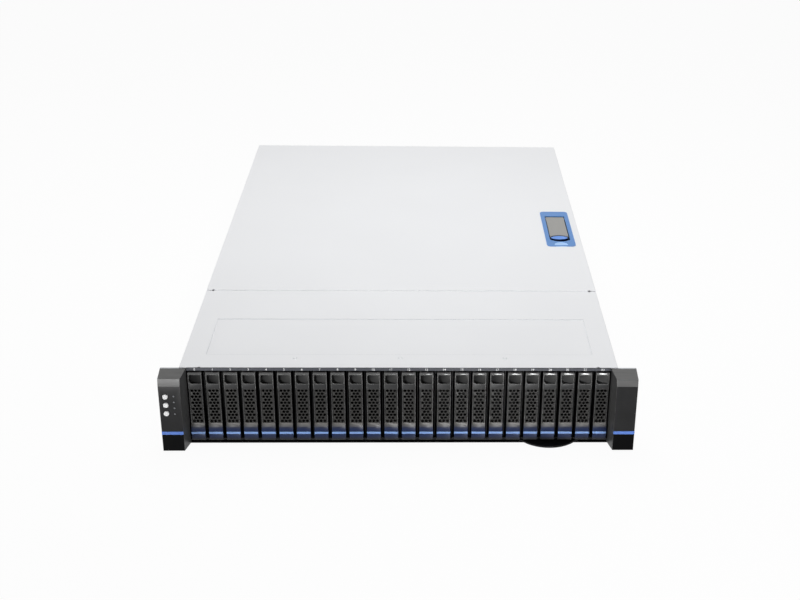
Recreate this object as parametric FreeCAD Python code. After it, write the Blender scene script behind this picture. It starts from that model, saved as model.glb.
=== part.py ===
import FreeCAD, Part
import math
import os

# A 2U rack-mount server chassis with a row of upright drive bays across its front.
# Millimetres: X to the right seen from the front, Y towards the rear, Z up.
# The origin is at mid width on the underside, in the plane that meets the rack posts.

Vector = FreeCAD.Vector

# Overall sizes
RACK_WIDTH = 482.6          # over both rack ears
EAR_REACH = 18.8            # how far an ear stands out from the side of the body
BODY_HEIGHT = 88.0          # underside to the top of the rear lid
BODY_DEPTH = 710.0          # rack plane to the outside of the rear panel
SEAM_Y = 187.0              # where the front cover meets the rear lid

# Sheet metal
PAN_SHEET = 1.2
COVER_SHEET = 1.0
CAGE_SHEET = 1.0
FLANGE_SHEET = 2.0
SHEET_GAP = 0.2             # between a cover's skirt and the wall inside it
COVER_STEP = 0.8            # the rear lid stands this far above the front cover
COVER_SETBACK = 0.2         # front cover behind the rack plane
SEAM_GAP = 0.6
SKIRT_HEIGHT = 12.0
TONGUE_LENGTH = 10.0        # the lid's joggled edge reaches under the front cover
TONGUE_INSET = 6.0          # and stays this far from the side walls
LIP_HEIGHT = 3.0            # fold at the lid's rear edge

# Front cover details
PRESSED_SIDE_MARGIN = 23.0  # from the cover's side to the pressed panel
PRESSED_START = 29.0
PRESSED_LENGTH = 84.0
PRESSED_DEPTH = 0.6
RIVET_SPACING = 108.0
RIVET_Y = 20.8
RIVET_RADIUS = 1.5
RIVET_HEAD_RADIUS = 2.5
RIVET_HEAD_HEIGHT = 0.6
RIVET_CLEARANCE = 0.1
SEAM_NOTCH_INSET = 7.5      # from the cover's side
SEAM_NOTCH_RADIUS = 1.5
FRONT_NOTCH_INSET = 20.0
FRONT_NOTCH_RADIUS = 1.6

# Drive cage and bays
BAY_COUNT = 24
CAGE_SIDE_GAP = 3.0         # between the cage's side and the pan's wall
BAY_GAP = 3.9               # between neighbouring carriers
DIVIDER_SHEET = 0.8
DIVIDER_SETBACK = 6.0
STRIP_HEIGHT = 3.2          # bay-number strip over the carriers
CARRIER_CLEARANCE = 0.4

# Drive carriers
CARRIER_PROUD = 4.0         # bezel in front of the rack plane
BEZEL_DEPTH = 12.0
BEZEL_RIM = 1.3
BEZEL_LIFT = 1.1            # bezel's foot over the lower rail's
BEZEL_DROP = 0.9            # bezel's top under the upper rail's
BEZEL_TOP_BEVEL = 1.4
SCOOP_HEIGHT = 9.8
SCOOP_TOP_RIM = 2.15
SCOOP_SIDE_RIM = 1.1
SCOOP_DEPTH = 5.0           # at the left, where a fingertip hooks in
SCOOP_SHALLOW = 1.0         # at the right
SCOOP_CORNER = 2.0          # bevelled lower left corner of the scoop
CROSSBAR_HEIGHT = 6.6       # between the scoop and the grille
GRILLE_SHEET = 1.2
GRILLE_SETBACK = 0.8
HOLE_PITCH = 3.7
HOLE_ROW_PITCH = 3.53
HOLE_RADIUS = 1.65
LATCH_BLOCK_HEIGHT = 20.5
LATCH_BLOCK_PROUD = 1.6
LATCH_BLOCK_SLOPE = 3.9
ACCENT_RISE = 8.25          # carrier's foot to the accent strip
ACCENT_HEIGHT = 2.4
ACCENT_DEPTH = 0.8
ACCENT_PROUD = 0.2
RAIL_THICKNESS = 4.5
DRIVE_FRONT = 28.0
DRIVE_LENGTH = 100.2
DRIVE_THICKNESS = 9.5
DRIVE_CLEARANCE = 0.15

# Backplane
CONNECTOR_GAP = 0.3
CONNECTOR_DEPTH = 6.0
CONNECTOR_WIDTH = 5.0
CONNECTOR_HEIGHT = 33.0
BACKPLANE_THICKNESS = 2.0
BACKPLANE_INSET = 3.0
VENT_WIDTH = 5.0
VENT_HEIGHT = 56.0

# Information tag
TAG_X = 155.0
TAG_WIDTH = 56.0
TAG_THICKNESS = 2.0
TAG_LENGTH = 95.0
TAG_BULGE = 13.2            # rounded front edge beyond the pan
TAG_CLEARANCE = 0.4
TAG_GUIDE = 2.0             # width of the ribs that guide it

# Rack ears
EAR_DEPTH = 19.5            # front face ahead of the rack plane
EAR_TOP_DROP = 0.8          # ear's top edge below the lid
EAR_BOTTOM = 1.2
EAR_BEVEL_RUN = 1.3
EAR_BEVEL_HEIGHT = 8.0
EAR_TOP_SLOPE = 3.5
EAR_WALL = 2.0
EAR_FACE_WIDTH = 21.8
EAR_FLARE = 4.0             # inner side runs this far inwards towards the rear
STRIPE_RISE = 19.2          # ear's foot to the accent stripe
STRIPE_HEIGHT = 3.4
STRIPE_DEPTH = 1.0
STRIPE_PROUD = 0.3
EAR_LEG_LENGTH = 45.0
EAR_LEG_MARGIN = 5.0
RACK_HOLE_SPAN = 465.1
RACK_HOLE_SPACING = 44.45
RACK_HOLE_RADIUS = 3.4

# Buttons, lights and their board, in the left ear
BUTTON_INSET = 6.6          # from the ear's outer side
BUTTON_TOP = 64.4
BUTTON_PITCH = 9.6
BUTTON_NAMES = ["power_button", "reset_button", "identify_button"]
BUTTON_RADIUS = 2.6
BUTTON_PROUD = 1.2
BUTTON_FLANGE_RADIUS = 3.6
BUTTON_FLANGE = 1.0
BUTTON_STEM_RADIUS = 1.2
BUTTON_STEM = 2.5
BUTTON_TRAVEL = 1.0
BUTTON_CLEARANCE = 0.1
SWITCH_MARGIN = 0.2
SWITCH_SIZE = 6.0
SWITCH_DEPTH = 3.5
LIGHT_INSET = 14.9
LIGHT_COUNT = 4
LIGHT_TOP = 64.6
LIGHT_PITCH = 6.7
LIGHT_RADIUS = 0.8
LIGHT_FLANGE_RADIUS = 1.5
LIGHT_FLANGE = 0.8
LIGHT_PROUD = 0.2
BOARD_THICKNESS = 1.6
BOARD_MARGIN = 9.0          # board beyond the outermost buttons
BOARD_SIDE_MARGIN = 3.0
BOSS_SIZE = 4.0

# Base pan
STANDOFF_HEIGHT = 6.5
STANDOFF_RADIUS = 3.4
STANDOFF_HOLE_RADIUS = 1.5
STANDOFF_CLEARANCE = 2.0    # from the power supply cage
BOARD_ROWS = [16.51, 173.99, 298.45]        # standoffs from the board's left edge
BOARD_COLUMNS = [10.16, 165.10, 237.49]     # and from its rear edge
BOARD_REAR_GAP = 1.5
RAIL_HOLES_Y = [70.0, 190.0, 320.0, 440.0]
RAIL_HOLE_RADIUS = 2.2
RAIL_HOLE_HEIGHT = 44.0

# Fans
FAN_COUNT = 4
FAN_SETBACK = 8.0           # bracket behind the seam
FAN_DEPTH = 38.0
FAN_HEADROOM = 4.6
FAN_WALL = 2.0
FAN_SIDE_MARGIN = 9.6       # side wall to the outermost fan's share of the width
FAN_BRACKET_SHEET = 1.2
FAN_BRACKET_GAP = 0.5       # between neighbouring brackets
FAN_HUB_RADIUS = 17.0
FAN_SPIDER = 3.0
FAN_STRUT = 5.0
FAN_SHAFT_RADIUS = 2.0
FAN_SHAFT_LENGTH = 24.0
FAN_SHAFT_CLEARANCE = 0.05
FAN_ROTOR_DEPTH = 28.0
FAN_ROTOR_GAP = 1.0         # rotor ahead of the spider
FAN_TIP_GAP = 1.2
BLADE_COUNT = 7
BLADE_CHORD = 26.0
BLADE_SHEET = 1.6
BLADE_PITCH = 42.0          # degrees off the shaft

# Power supplies
PSU_WIDTH = 73.5
PSU_LENGTH = 185.0
PSU_SIDE_GAP = 0.5
PSU_GAP = 0.5
PSU_HEADROOM = 4.3
PSU_CAGE_REACH = 8.0        # cage ahead of the supplies
INLET_WIDTH = 24.0
INLET_HEIGHT = 16.5
INLET_DEPTH = 16.0
INLET_MARGIN = 2.0
PIN_WIDTH = 2.0
PIN_HEIGHT = 4.0
PIN_LENGTH = 11.0
PIN_SPACING = 7.0
PSU_VENT_DEPTH = 2.0
PSU_VENT_PITCH = 6.6
PSU_VENT_ROW_PITCH = 5.7
PSU_VENT_RADIUS = 2.8
BAIL_BAR = 3.0
BAIL_GAP = 20.4             # between the bail's arms
BAIL_LEFT = 17.3            # first arm from the supply's left side
BAIL_DROP = 24.0            # pivot to the bail's lower edge
BAIL_PIVOT_DROP = 7.0       # pivot below the supply's top
BAIL_PIVOT_REACH = 5.0      # pivot behind the supply's rear face
BAIL_PIN_RADIUS = 1.2
BAIL_PIN_CLEARANCE = 0.05
LUG_WIDTH = 2.4
LUG_RADIUS = 3.0
LUG_GAP = 0.3
RELEASE_LEFT = 2.5
RELEASE_WIDTH = 6.0
RELEASE_HEIGHT = 14.0
RELEASE_DEPTH = 4.0
RELEASE_PROUD = 9.0
RELEASE_TIP = 3.0
RELEASE_CLEARANCE = 0.2
RELEASE_TRAVEL = 3.0

# Rear panel
SLOT_PITCH = 20.32
SLOT_OPENING = 13.0
SLOT_RISE = 9.0
SLOT_MARGIN = 8.0           # from the power supply cage
SLOT_COVER_WIDTH = 18.4
SLOT_COVER_SHEET = 0.9
SLOT_COVER_OVERLAP = 3.0
SLOT_EAR = 8.0              # screw ear at the cover's top
SLOT_TOP_MARGIN = 3.8       # from the screw ear to the lid
SLOT_VENT_WIDTH = 2.4
SLOT_VENT_MARGIN = 5.0
WINDOW_WIDTH = 158.75
WINDOW_HEIGHT = 44.45
WINDOW_RISE = 8.5
WINDOW_MARGIN = 7.5         # from the last slot
WINDOW_SIDE_MARGIN = 42.7   # from the side wall
REAR_VENT_COUNT = 18
REAR_VENT_WIDTH = 4.0
REAR_VENT_RISE = 6.0        # above the window
REAR_VENT_TOP_MARGIN = 6.85 # below the lid

# Fasteners
SCREW_RADIUS = 1.5
SCREW_HEAD_RADIUS = 2.8
SCREW_HEAD_HEIGHT = 0.9
SCREW_CLEARANCE = 0.1
COVER_SCREWS_Y = [60.0, 140.0]
COVER_SCREW_DROP = 7.0      # below the front cover's top
LEG_SCREW_Y = 32.0
LEG_SCREW_SPACING = 40.0

# Lid latch
LATCH_INSET = 26.2          # lid's side to the latch's middle
LATCH_OFFSET = 132.8        # seam to the bezel's front edge
LATCH_LENGTH = 117.8
LATCH_WIDTH = 36.0
LATCH_RIM = 0.8
LATCH_CORNER = 5.0
WELL_OFFSET = 14.5          # bezel's front edge to the well
WELL_LENGTH = 86.7
WELL_WIDTH = 25.6
WELL_BOW = 6.2              # its front edge bows forward this far
WELL_DEPTH = 7.0
WELL_WALL = 1.5
WELL_CLEARANCE = 0.3
THUMB_RADIUS = 8.5          # round recess in the rim ahead of the well
THUMB_DEPTH = 0.5
THUMB_MARGIN = 2.7          # from the bezel's front edge
THUMB_WALL = 0.8            # left between it and the well
LEVER_START = 17.7          # well's front to the lever's front corners
LEVER_HOLLOW = 5.3          # how far its front edge curves in
LEVER_THICKNESS = 3.4
LEVER_PROUD = 0.2
LEVER_SIDE_GAP = 1.1
LEVER_REAR_GAP = 2.0
LEVER_PIVOT_INSET = 3.0
LEVER_PIN_RADIUS = 1.2
LEVER_PIN_REACH = 1.0
LEVER_PIN_CLEARANCE = 0.06
TAB_START = 10.8            # well's front to the release tab
TAB_WIDTH = 21.0
TAB_GAP = 1.2               # to the lever
TAB_DROP = 0.6              # below the lid's top

# Levels and planes worked out from the sizes above
half_rack = RACK_WIDTH / 2
skirt_outer = half_rack - EAR_REACH
skirt_inner = skirt_outer - COVER_SHEET
wall_outer = skirt_inner - SHEET_GAP
wall_inner = wall_outer - PAN_SHEET
pan_front = -FLANGE_SHEET
lid_top = BODY_HEIGHT
lid_under = lid_top - COVER_SHEET
cover_top = lid_top - COVER_STEP
cover_under = cover_top - COVER_SHEET
cover_rear = SEAM_Y - SEAM_GAP / 2
lid_front = SEAM_Y + SEAM_GAP / 2
pressed_half = skirt_outer - PRESSED_SIDE_MARGIN
seam_notch_x = skirt_outer - SEAM_NOTCH_INSET
front_notch_x = skirt_outer - FRONT_NOTCH_INSET

tag_top = PAN_SHEET + TAG_THICKNESS
cage_floor = tag_top + TAG_CLEARANCE + CAGE_SHEET
cage_roof = cover_top - STRIP_HEIGHT
cage_half = wall_inner - CAGE_SIDE_GAP - CAGE_SHEET
bay_pitch = 2 * cage_half / BAY_COUNT
carrier_width = bay_pitch - BAY_GAP
carrier_bottom = cage_floor
carrier_top = cage_roof - CARRIER_CLEARANCE
carrier_front = -CARRIER_PROUD
bezel_back = carrier_front + BEZEL_DEPTH
bezel_top = carrier_top - BEZEL_DROP
scoop_top = bezel_top - SCOOP_TOP_RIM
scoop_bottom = scoop_top - SCOOP_HEIGHT
grille_top = scoop_bottom - CROSSBAR_HEIGHT
grille_bottom = carrier_bottom + LATCH_BLOCK_HEIGHT
grille_half = carrier_width / 2 - BEZEL_RIM
block_front = carrier_front - LATCH_BLOCK_PROUD
drive_bottom = carrier_bottom + RAIL_THICKNESS
drive_top = carrier_top - RAIL_THICKNESS - DRIVE_CLEARANCE
drive_rear = DRIVE_FRONT + DRIVE_LENGTH
cage_rear = drive_rear + CONNECTOR_DEPTH
bay_mid = (carrier_bottom + carrier_top) / 2

ear_top = lid_top - EAR_TOP_DROP
ear_front = -EAR_DEPTH
ear_face_x = half_rack - EAR_FACE_WIDTH
ear_root_x = ear_face_x - EAR_FLARE
ear_inside = ear_front + EAR_WALL
button_x = BUTTON_INSET - half_rack
light_x = LIGHT_INSET - half_rack
switch_front = ear_inside + BUTTON_FLANGE + BUTTON_STEM + BUTTON_TRAVEL + SWITCH_MARGIN
board_front = switch_front + SWITCH_DEPTH
board_top = BUTTON_TOP + BOARD_MARGIN
board_bottom = BUTTON_TOP - (len(BUTTON_NAMES) - 1) * BUTTON_PITCH - BOARD_MARGIN
boss_x = (button_x + light_x) / 2
body_mid = BODY_HEIGHT / 2

fan_plate = SEAM_Y + FAN_SETBACK
fan_front = fan_plate + FAN_BRACKET_SHEET
fan_rear = fan_front + FAN_DEPTH
fan_bottom = PAN_SHEET + FAN_BRACKET_SHEET
fan_size = lid_under - fan_bottom - FAN_HEADROOM
fan_mid = fan_bottom + fan_size / 2
fan_bore = fan_size / 2 - FAN_WALL
fan_pitch = 2 * (wall_inner - FAN_SIDE_MARGIN) / FAN_COUNT
rotor_rear = fan_rear - FAN_SPIDER - FAN_ROTOR_GAP
rotor_front = rotor_rear - FAN_ROTOR_DEPTH

panel_inside = BODY_DEPTH - PAN_SHEET
psu_left = PSU_SIDE_GAP - wall_inner
psu_front = BODY_DEPTH - PSU_LENGTH
psu_wall = psu_left + PSU_WIDTH + PSU_SIDE_GAP
psu_height = (lid_under - PAN_SHEET - CAGE_SHEET - PSU_GAP - PSU_HEADROOM) / 2
psu_shelf = PAN_SHEET + psu_height + PSU_GAP
psu_bottoms = [PAN_SHEET, psu_shelf + CAGE_SHEET]
inlet_right = psu_left + PSU_WIDTH - INLET_MARGIN
bail_x = (psu_left + BAIL_LEFT, psu_left + BAIL_LEFT + BAIL_GAP + 2 * BAIL_BAR)
bail_y = BODY_DEPTH + BAIL_PIVOT_REACH

panel_left = psu_wall + CAGE_SHEET
slots_left = panel_left + SLOT_MARGIN
slots_bottom = PAN_SHEET + SLOT_RISE
slots_top = lid_under - SLOT_TOP_MARGIN - SLOT_EAR - SLOT_COVER_OVERLAP
slot_ear_mid = slots_top + SLOT_COVER_OVERLAP + SLOT_EAR / 2
window_left = wall_inner - WINDOW_SIDE_MARGIN - WINDOW_WIDTH
slot_count = int((window_left - WINDOW_MARGIN - slots_left) / SLOT_PITCH)
window_bottom = PAN_SHEET + WINDOW_RISE
window_top = window_bottom + WINDOW_HEIGHT
rear_vents = (window_top + REAR_VENT_RISE, lid_under - REAR_VENT_TOP_MARGIN)

latch_x = skirt_outer - LATCH_INSET
bezel_front = SEAM_Y + LATCH_OFFSET
well_front = bezel_front + WELL_OFFSET
well_rear = well_front + WELL_LENGTH
well_floor = lid_top - WELL_DEPTH
lever_front = well_front + LEVER_START
lever_rear = well_rear - LEVER_REAR_GAP
lever_top = lid_top + LEVER_PROUD
lever_half = WELL_WIDTH / 2 - LEVER_SIDE_GAP
lever_pivot_y = lever_rear - LEVER_PIVOT_INSET
lever_pivot_z = lever_top - LEVER_THICKNESS / 2


def block(x, y, z):
    """A box given as low and high pairs along X, Y and Z."""
    size = (x[1] - x[0], y[1] - y[0], z[1] - z[0])
    return Part.makeBox(*size, Vector(x[0], y[0], z[0]))


def filled(points):
    """A flat face with straight edges through the points."""
    return Part.Face(Part.makePolygon(points + points[:1]))


def prism_x(outline, x):
    """An outline of (y, z) points carried along X."""
    points = [Vector(x[0], y, z) for y, z in outline]
    return filled(points).extrude(Vector(x[1] - x[0], 0, 0))


def prism_y(outline, y):
    """An outline of (x, z) points carried along Y."""
    points = [Vector(x, y[0], z) for x, z in outline]
    return filled(points).extrude(Vector(0, y[1] - y[0], 0))


def prism_z(outline, z):
    """An outline of (x, y) points carried up Z."""
    points = [Vector(x, y, z[0]) for x, y in outline]
    return filled(points).extrude(Vector(0, 0, z[1] - z[0]))


def rod_x(radius, x, y, z):
    return Part.makeCylinder(radius, x[1] - x[0], Vector(x[0], y, z), Vector(1, 0, 0))


def rod_y(radius, y, x, z):
    return Part.makeCylinder(radius, y[1] - y[0], Vector(x, y[0], z), Vector(0, 1, 0))


def rod_z(radius, z, x, y):
    return Part.makeCylinder(radius, z[1] - z[0], Vector(x, y, z[0]), Vector(0, 0, 1))


def hexagon(radius, a, b):
    """Corner points of a hexagon with a corner at the top."""
    turns = [math.radians(30 + 60 * k) for k in range(6)]
    return [(a + radius * math.cos(t), b + radius * math.sin(t)) for t in turns]


def honeycomb(radius, pitch, row_pitch, low, high):
    """Centres of staggered holes that fill the rectangle from low to high."""
    rows = 1 + int((high[1] - low[1] - 2 * radius) / row_pitch)
    across = 1 + int((high[0] - low[0] - 2 * radius) / pitch)
    mid = ((low[0] + high[0]) / 2, (low[1] + high[1]) / 2)
    centres = []
    for row in range(rows):
        count = across - row % 2
        b = mid[1] + (row - (rows - 1) / 2) * row_pitch
        centres += [(mid[0] + (k - (count - 1) / 2) * pitch, b) for k in range(count)]
    return centres


def mirrored(shape):
    return shape.mirror(Vector(0, 0, 0), Vector(1, 0, 0))


def both_sides(shape):
    return [shape, mirrored(shape)]


def joined(first, others):
    return first.fuse(others).removeSplitter()


def save(name, shapes):
    shape = shapes[0] if len(shapes) == 1 else Part.makeCompound(shapes)
    shape.exportStep("parts/" + name + ".step")


def standoff_places():
    """Board standoffs: each grid point beside the supplies but the one that the port corner leaves out."""
    left = window_left + WINDOW_WIDTH - BOARD_ROWS[-1]
    rear = panel_inside - BOARD_REAR_GAP
    first = panel_left + STANDOFF_CLEARANCE + STANDOFF_RADIUS
    grid = [(left + x, rear - y) for x in BOARD_ROWS for y in BOARD_COLUMNS if left + x > first]
    grid.remove((left + BOARD_ROWS[-1], rear - BOARD_COLUMNS[0]))
    return grid


def standoff(x, y):
    """Hexagonal post on the pan's floor, threaded for the board's screw."""
    levels = (PAN_SHEET, PAN_SHEET + STANDOFF_HEIGHT)
    post = prism_z(hexagon(STANDOFF_RADIUS, x, y), levels)
    return post.cut(rod_z(STANDOFF_HOLE_RADIUS, levels, x, y))


def base_pan():
    """Floor, stepped side walls and tag guides."""
    floor = block((-wall_outer, wall_outer), (pan_front, BODY_DEPTH), (0, PAN_SHEET))
    profile = [(pan_front, 0), (BODY_DEPTH, 0), (BODY_DEPTH, lid_under), (lid_front, lid_under),
               (lid_front, cover_under), (pan_front, cover_under)]
    walls = both_sides(prism_x(profile, (wall_inner, wall_outer)))
    guide_x = TAG_X + TAG_WIDTH / 2 + TAG_CLEARANCE
    guides = []
    for low in (2 * TAG_X - guide_x - TAG_GUIDE, guide_x):
        guides.append(block((low, low + TAG_GUIDE), (pan_front, TAG_LENGTH), (PAN_SHEET, tag_top)))
    holes = []
    for y in RAIL_HOLES_Y:
        holes += both_sides(rod_x(RAIL_HOLE_RADIUS, (wall_inner, wall_outer), y, RAIL_HOLE_HEIGHT))
    for x, y, z in side_screw_places():
        holes += both_sides(rod_x(SCREW_RADIUS + SCREW_CLEARANCE, (wall_inner, wall_outer), y, z))
    return joined(floor, walls + guides).cut(holes)


def side_screw_places():
    """Seats of the screws on the right side, as the outer x of what each one holds, y and z."""
    cover_z = cover_top - COVER_SCREW_DROP
    places = [(skirt_outer, y, cover_z) for y in COVER_SCREWS_Y]
    leg_outer = wall_outer + PAN_SHEET
    for half in (-LEG_SCREW_SPACING / 2, LEG_SCREW_SPACING / 2):
        places.append((leg_outer, LEG_SCREW_Y, body_mid + half))
    return places


def front_top_cover():
    """Front cover: plate with a pressed panel, skirts, rivet holes and edge notches."""
    run = (COVER_SETBACK, cover_rear)
    plate = block((-skirt_outer, skirt_outer), run, (cover_under, cover_top))
    skirt = block((skirt_inner, skirt_outer), run, (lid_top - SKIRT_HEIGHT, cover_top))
    grown = pressed_half + COVER_SHEET
    end = PRESSED_START + PRESSED_LENGTH
    belly = block((-grown, grown), (PRESSED_START - COVER_SHEET, end + COVER_SHEET),
                  (cover_under - PRESSED_DEPTH, cover_under))
    recess = block((-pressed_half, pressed_half), (PRESSED_START, end),
                   (cover_top - PRESSED_DEPTH, cover_top))
    sheet = (cover_under, cover_top)
    holes = [rod_z(RIVET_RADIUS + RIVET_CLEARANCE, sheet, x, RIVET_Y) for x in rivet_places()]
    holes += both_sides(rod_z(FRONT_NOTCH_RADIUS, sheet, front_notch_x, COVER_SETBACK))
    holes += both_sides(rod_z(SEAM_NOTCH_RADIUS, sheet, seam_notch_x, SEAM_Y))
    for x, y, z in side_screw_places():
        if x == skirt_outer:
            holes += both_sides(rod_x(SCREW_RADIUS + SCREW_CLEARANCE, (skirt_inner, skirt_outer), y, z))
    return joined(plate, both_sides(skirt) + [belly]).cut([recess] + holes)


def rivet_places():
    return [-RIVET_SPACING, 0, RIVET_SPACING]


def rear_lid():
    """Rear lid: plate, skirts, rear lip, joggled front tongue and the opening for the latch."""
    run = (lid_front, BODY_DEPTH + COVER_SHEET)
    plate = block((-skirt_outer, skirt_outer), run, (lid_under, lid_top))
    skirt = block((skirt_inner, skirt_outer), run, (lid_top - SKIRT_HEIGHT, lid_top))
    lip = block((-skirt_outer, skirt_outer), (BODY_DEPTH, run[1]), (lid_top - LIP_HEIGHT, lid_top))
    across = (TONGUE_INSET - wall_inner, wall_inner - TONGUE_INSET)
    under = cover_under - COVER_SHEET
    joggle = block(across, (lid_front, lid_front + COVER_SHEET), (under, lid_under))
    tongue = block(across, (SEAM_Y - TONGUE_LENGTH, lid_front), (under, cover_under))
    half = WELL_WIDTH / 2 + WELL_WALL + WELL_CLEARANCE
    margin = WELL_WALL + WELL_CLEARANCE
    opening = block((latch_x - half, latch_x + half), (well_front - margin, well_rear + margin),
                    (lid_under, lid_top))
    notches = both_sides(rod_z(SEAM_NOTCH_RADIUS, (lid_under, lid_top), seam_notch_x, SEAM_Y))
    return joined(plate, both_sides(skirt) + [lip, joggle, tongue]).cut([opening] + notches)


def chassis_fasteners():
    """Cover rivets, side screws and slot cover screws."""
    pieces = []
    roof_top = cage_roof + CAGE_SHEET
    for x in rivet_places():
        shank = rod_z(RIVET_RADIUS, (roof_top, cover_top), x, RIVET_Y)
        head = rod_z(RIVET_HEAD_RADIUS, (cover_top, cover_top + RIVET_HEAD_HEIGHT), x, RIVET_Y)
        pieces.append(joined(shank, [head]))
    for seat, y, z in side_screw_places():
        shank = rod_x(SCREW_RADIUS, (wall_inner, seat), y, z)
        head = rod_x(SCREW_HEAD_RADIUS, (seat, seat + SCREW_HEAD_HEIGHT), y, z)
        pieces += both_sides(joined(shank, [head]))
    for x in slot_places():
        shank = rod_y(SCREW_RADIUS, (panel_inside - SLOT_COVER_SHEET, BODY_DEPTH), x, slot_ear_mid)
        head = rod_y(SCREW_HEAD_RADIUS, (BODY_DEPTH, BODY_DEPTH + SCREW_HEAD_HEIGHT), x, slot_ear_mid)
        pieces.append(joined(shank, [head]))
    return pieces


def drive_cage():
    """Floor, roof and sides round the bays, with the number strip folded up at the front."""
    outer = cage_half + CAGE_SHEET
    run = (0, cage_rear)
    floor = block((-outer, outer), run, (cage_floor - CAGE_SHEET, cage_floor))
    roof = block((-outer, outer), (-CAGE_SHEET, cage_rear), (cage_roof, cage_roof + CAGE_SHEET))
    side = block((cage_half, outer), run, (PAN_SHEET, cage_roof + CAGE_SHEET))
    strip_half = min(outer, ear_root_x - SHEET_GAP)
    strip = block((-strip_half, strip_half), (-CAGE_SHEET, 0), (cage_roof, cover_top))
    return joined(floor, [roof, strip] + both_sides(side))


def bay_centres():
    return [(k - (BAY_COUNT - 1) / 2) * bay_pitch for k in range(BAY_COUNT)]


def cage_dividers():
    """Plain walls between neighbouring bays."""
    half = DIVIDER_SHEET / 2
    walls = []
    for x in bay_centres()[1:]:
        middle = x - bay_pitch / 2
        walls.append(block((middle - half, middle + half), (DIVIDER_SETBACK, cage_rear),
                           (cage_floor, cage_roof)))
    return walls


def carrier_frame():
    """Carrier moulding at x = 0: bezel with scoop and grille window, latch block and drive rails."""
    half = carrier_width / 2
    across = (-half, half)
    bezel_bottom = carrier_bottom + BEZEL_LIFT
    bevel_z = bezel_top - BEZEL_TOP_BEVEL
    bevel_y = carrier_front + BEZEL_TOP_BEVEL
    side = [(carrier_front, grille_bottom), (block_front, grille_bottom - LATCH_BLOCK_SLOPE),
            (block_front, bezel_bottom), (bezel_back, bezel_bottom), (bezel_back, bezel_top),
            (bevel_y, bezel_top), (carrier_front, bevel_z)]
    rails = [block(across, (bezel_back, drive_rear), (carrier_bottom, drive_bottom)),
             block(across, (bezel_back, drive_rear), (drive_top + DRIVE_CLEARANCE, carrier_top))]
    left = SCOOP_SIDE_RIM - half
    plan = [(left, carrier_front), (left, carrier_front + SCOOP_DEPTH),
            (-left, carrier_front + SCOOP_SHALLOW), (-left, carrier_front)]
    front_view = [(left, scoop_top), (left, scoop_bottom + SCOOP_CORNER),
                  (left + SCOOP_CORNER, scoop_bottom), (-left, scoop_bottom), (-left, scoop_top)]
    reach = (carrier_front, bezel_back)
    scoop = prism_z(plan, (scoop_bottom, scoop_top)).common(prism_y(front_view, reach))
    window = block((-grille_half, grille_half), reach, (grille_bottom, grille_top))
    groove = block(across, (block_front, block_front + ACCENT_DEPTH), accent_levels())
    return joined(prism_x(side, across), rails).cut([scoop, window, groove])


def accent_levels():
    low = carrier_bottom + ACCENT_RISE
    return (low, low + ACCENT_HEIGHT)


def carrier_pieces():
    """One loaded carrier at x = 0: moulding, grille, accent strip and drive."""
    half = carrier_width / 2
    front = carrier_front + GRILLE_SETBACK
    span = (front, front + GRILLE_SHEET)
    plate = block((-grille_half, grille_half), span, (grille_bottom, grille_top))
    centres = honeycomb(HOLE_RADIUS, HOLE_PITCH, HOLE_ROW_PITCH, (-grille_half, grille_bottom),
                        (grille_half, grille_top))
    grille = plate.cut([prism_y(hexagon(HOLE_RADIUS, x, z), span) for x, z in centres])
    accent = block((-half, half), (block_front - ACCENT_PROUD, block_front + ACCENT_DEPTH), accent_levels())
    drive = block((-DRIVE_THICKNESS / 2, DRIVE_THICKNESS / 2), (DRIVE_FRONT, drive_rear),
                  (drive_bottom, drive_top))
    return [carrier_frame(), grille, accent, drive]


def backplane():
    """Board behind the bays, with air slots between the drive connectors."""
    half = cage_half + CAGE_SHEET
    board = block((-half, half), (cage_rear, cage_rear + BACKPLANE_THICKNESS),
                  (carrier_bottom - BACKPLANE_INSET, cage_roof))
    vents = []
    for x in bay_centres()[1:]:
        middle = x - bay_pitch / 2
        vents.append(block((middle - VENT_WIDTH / 2, middle + VENT_WIDTH / 2),
                           (cage_rear, cage_rear + BACKPLANE_THICKNESS),
                           (bay_mid - VENT_HEIGHT / 2, bay_mid + VENT_HEIGHT / 2)))
    sockets = []
    for x in bay_centres():
        sockets.append(block((x - CONNECTOR_WIDTH / 2, x + CONNECTOR_WIDTH / 2),
                             (drive_rear + CONNECTOR_GAP, cage_rear),
                             (bay_mid - CONNECTOR_HEIGHT / 2, bay_mid + CONNECTOR_HEIGHT / 2)))
    return joined(board.cut(vents), sockets)


def information_tag():
    """Flat pull-out card with a rounded front edge."""
    left = TAG_X - TAG_WIDTH / 2
    right = TAG_X + TAG_WIDTH / 2
    corners = [Vector(left, pan_front, PAN_SHEET), Vector(left, TAG_LENGTH, PAN_SHEET),
               Vector(right, TAG_LENGTH, PAN_SHEET), Vector(right, pan_front, PAN_SHEET)]
    nose = Vector(TAG_X, pan_front - TAG_BULGE, PAN_SHEET)
    edges = [Part.LineSegment(a, b).toShape() for a, b in zip(corners, corners[1:])]
    edges.append(Part.Arc(corners[3], nose, corners[0]).toShape())
    return Part.Face(Part.Wire(edges)).extrude(Vector(0, 0, TAG_THICKNESS))


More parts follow.
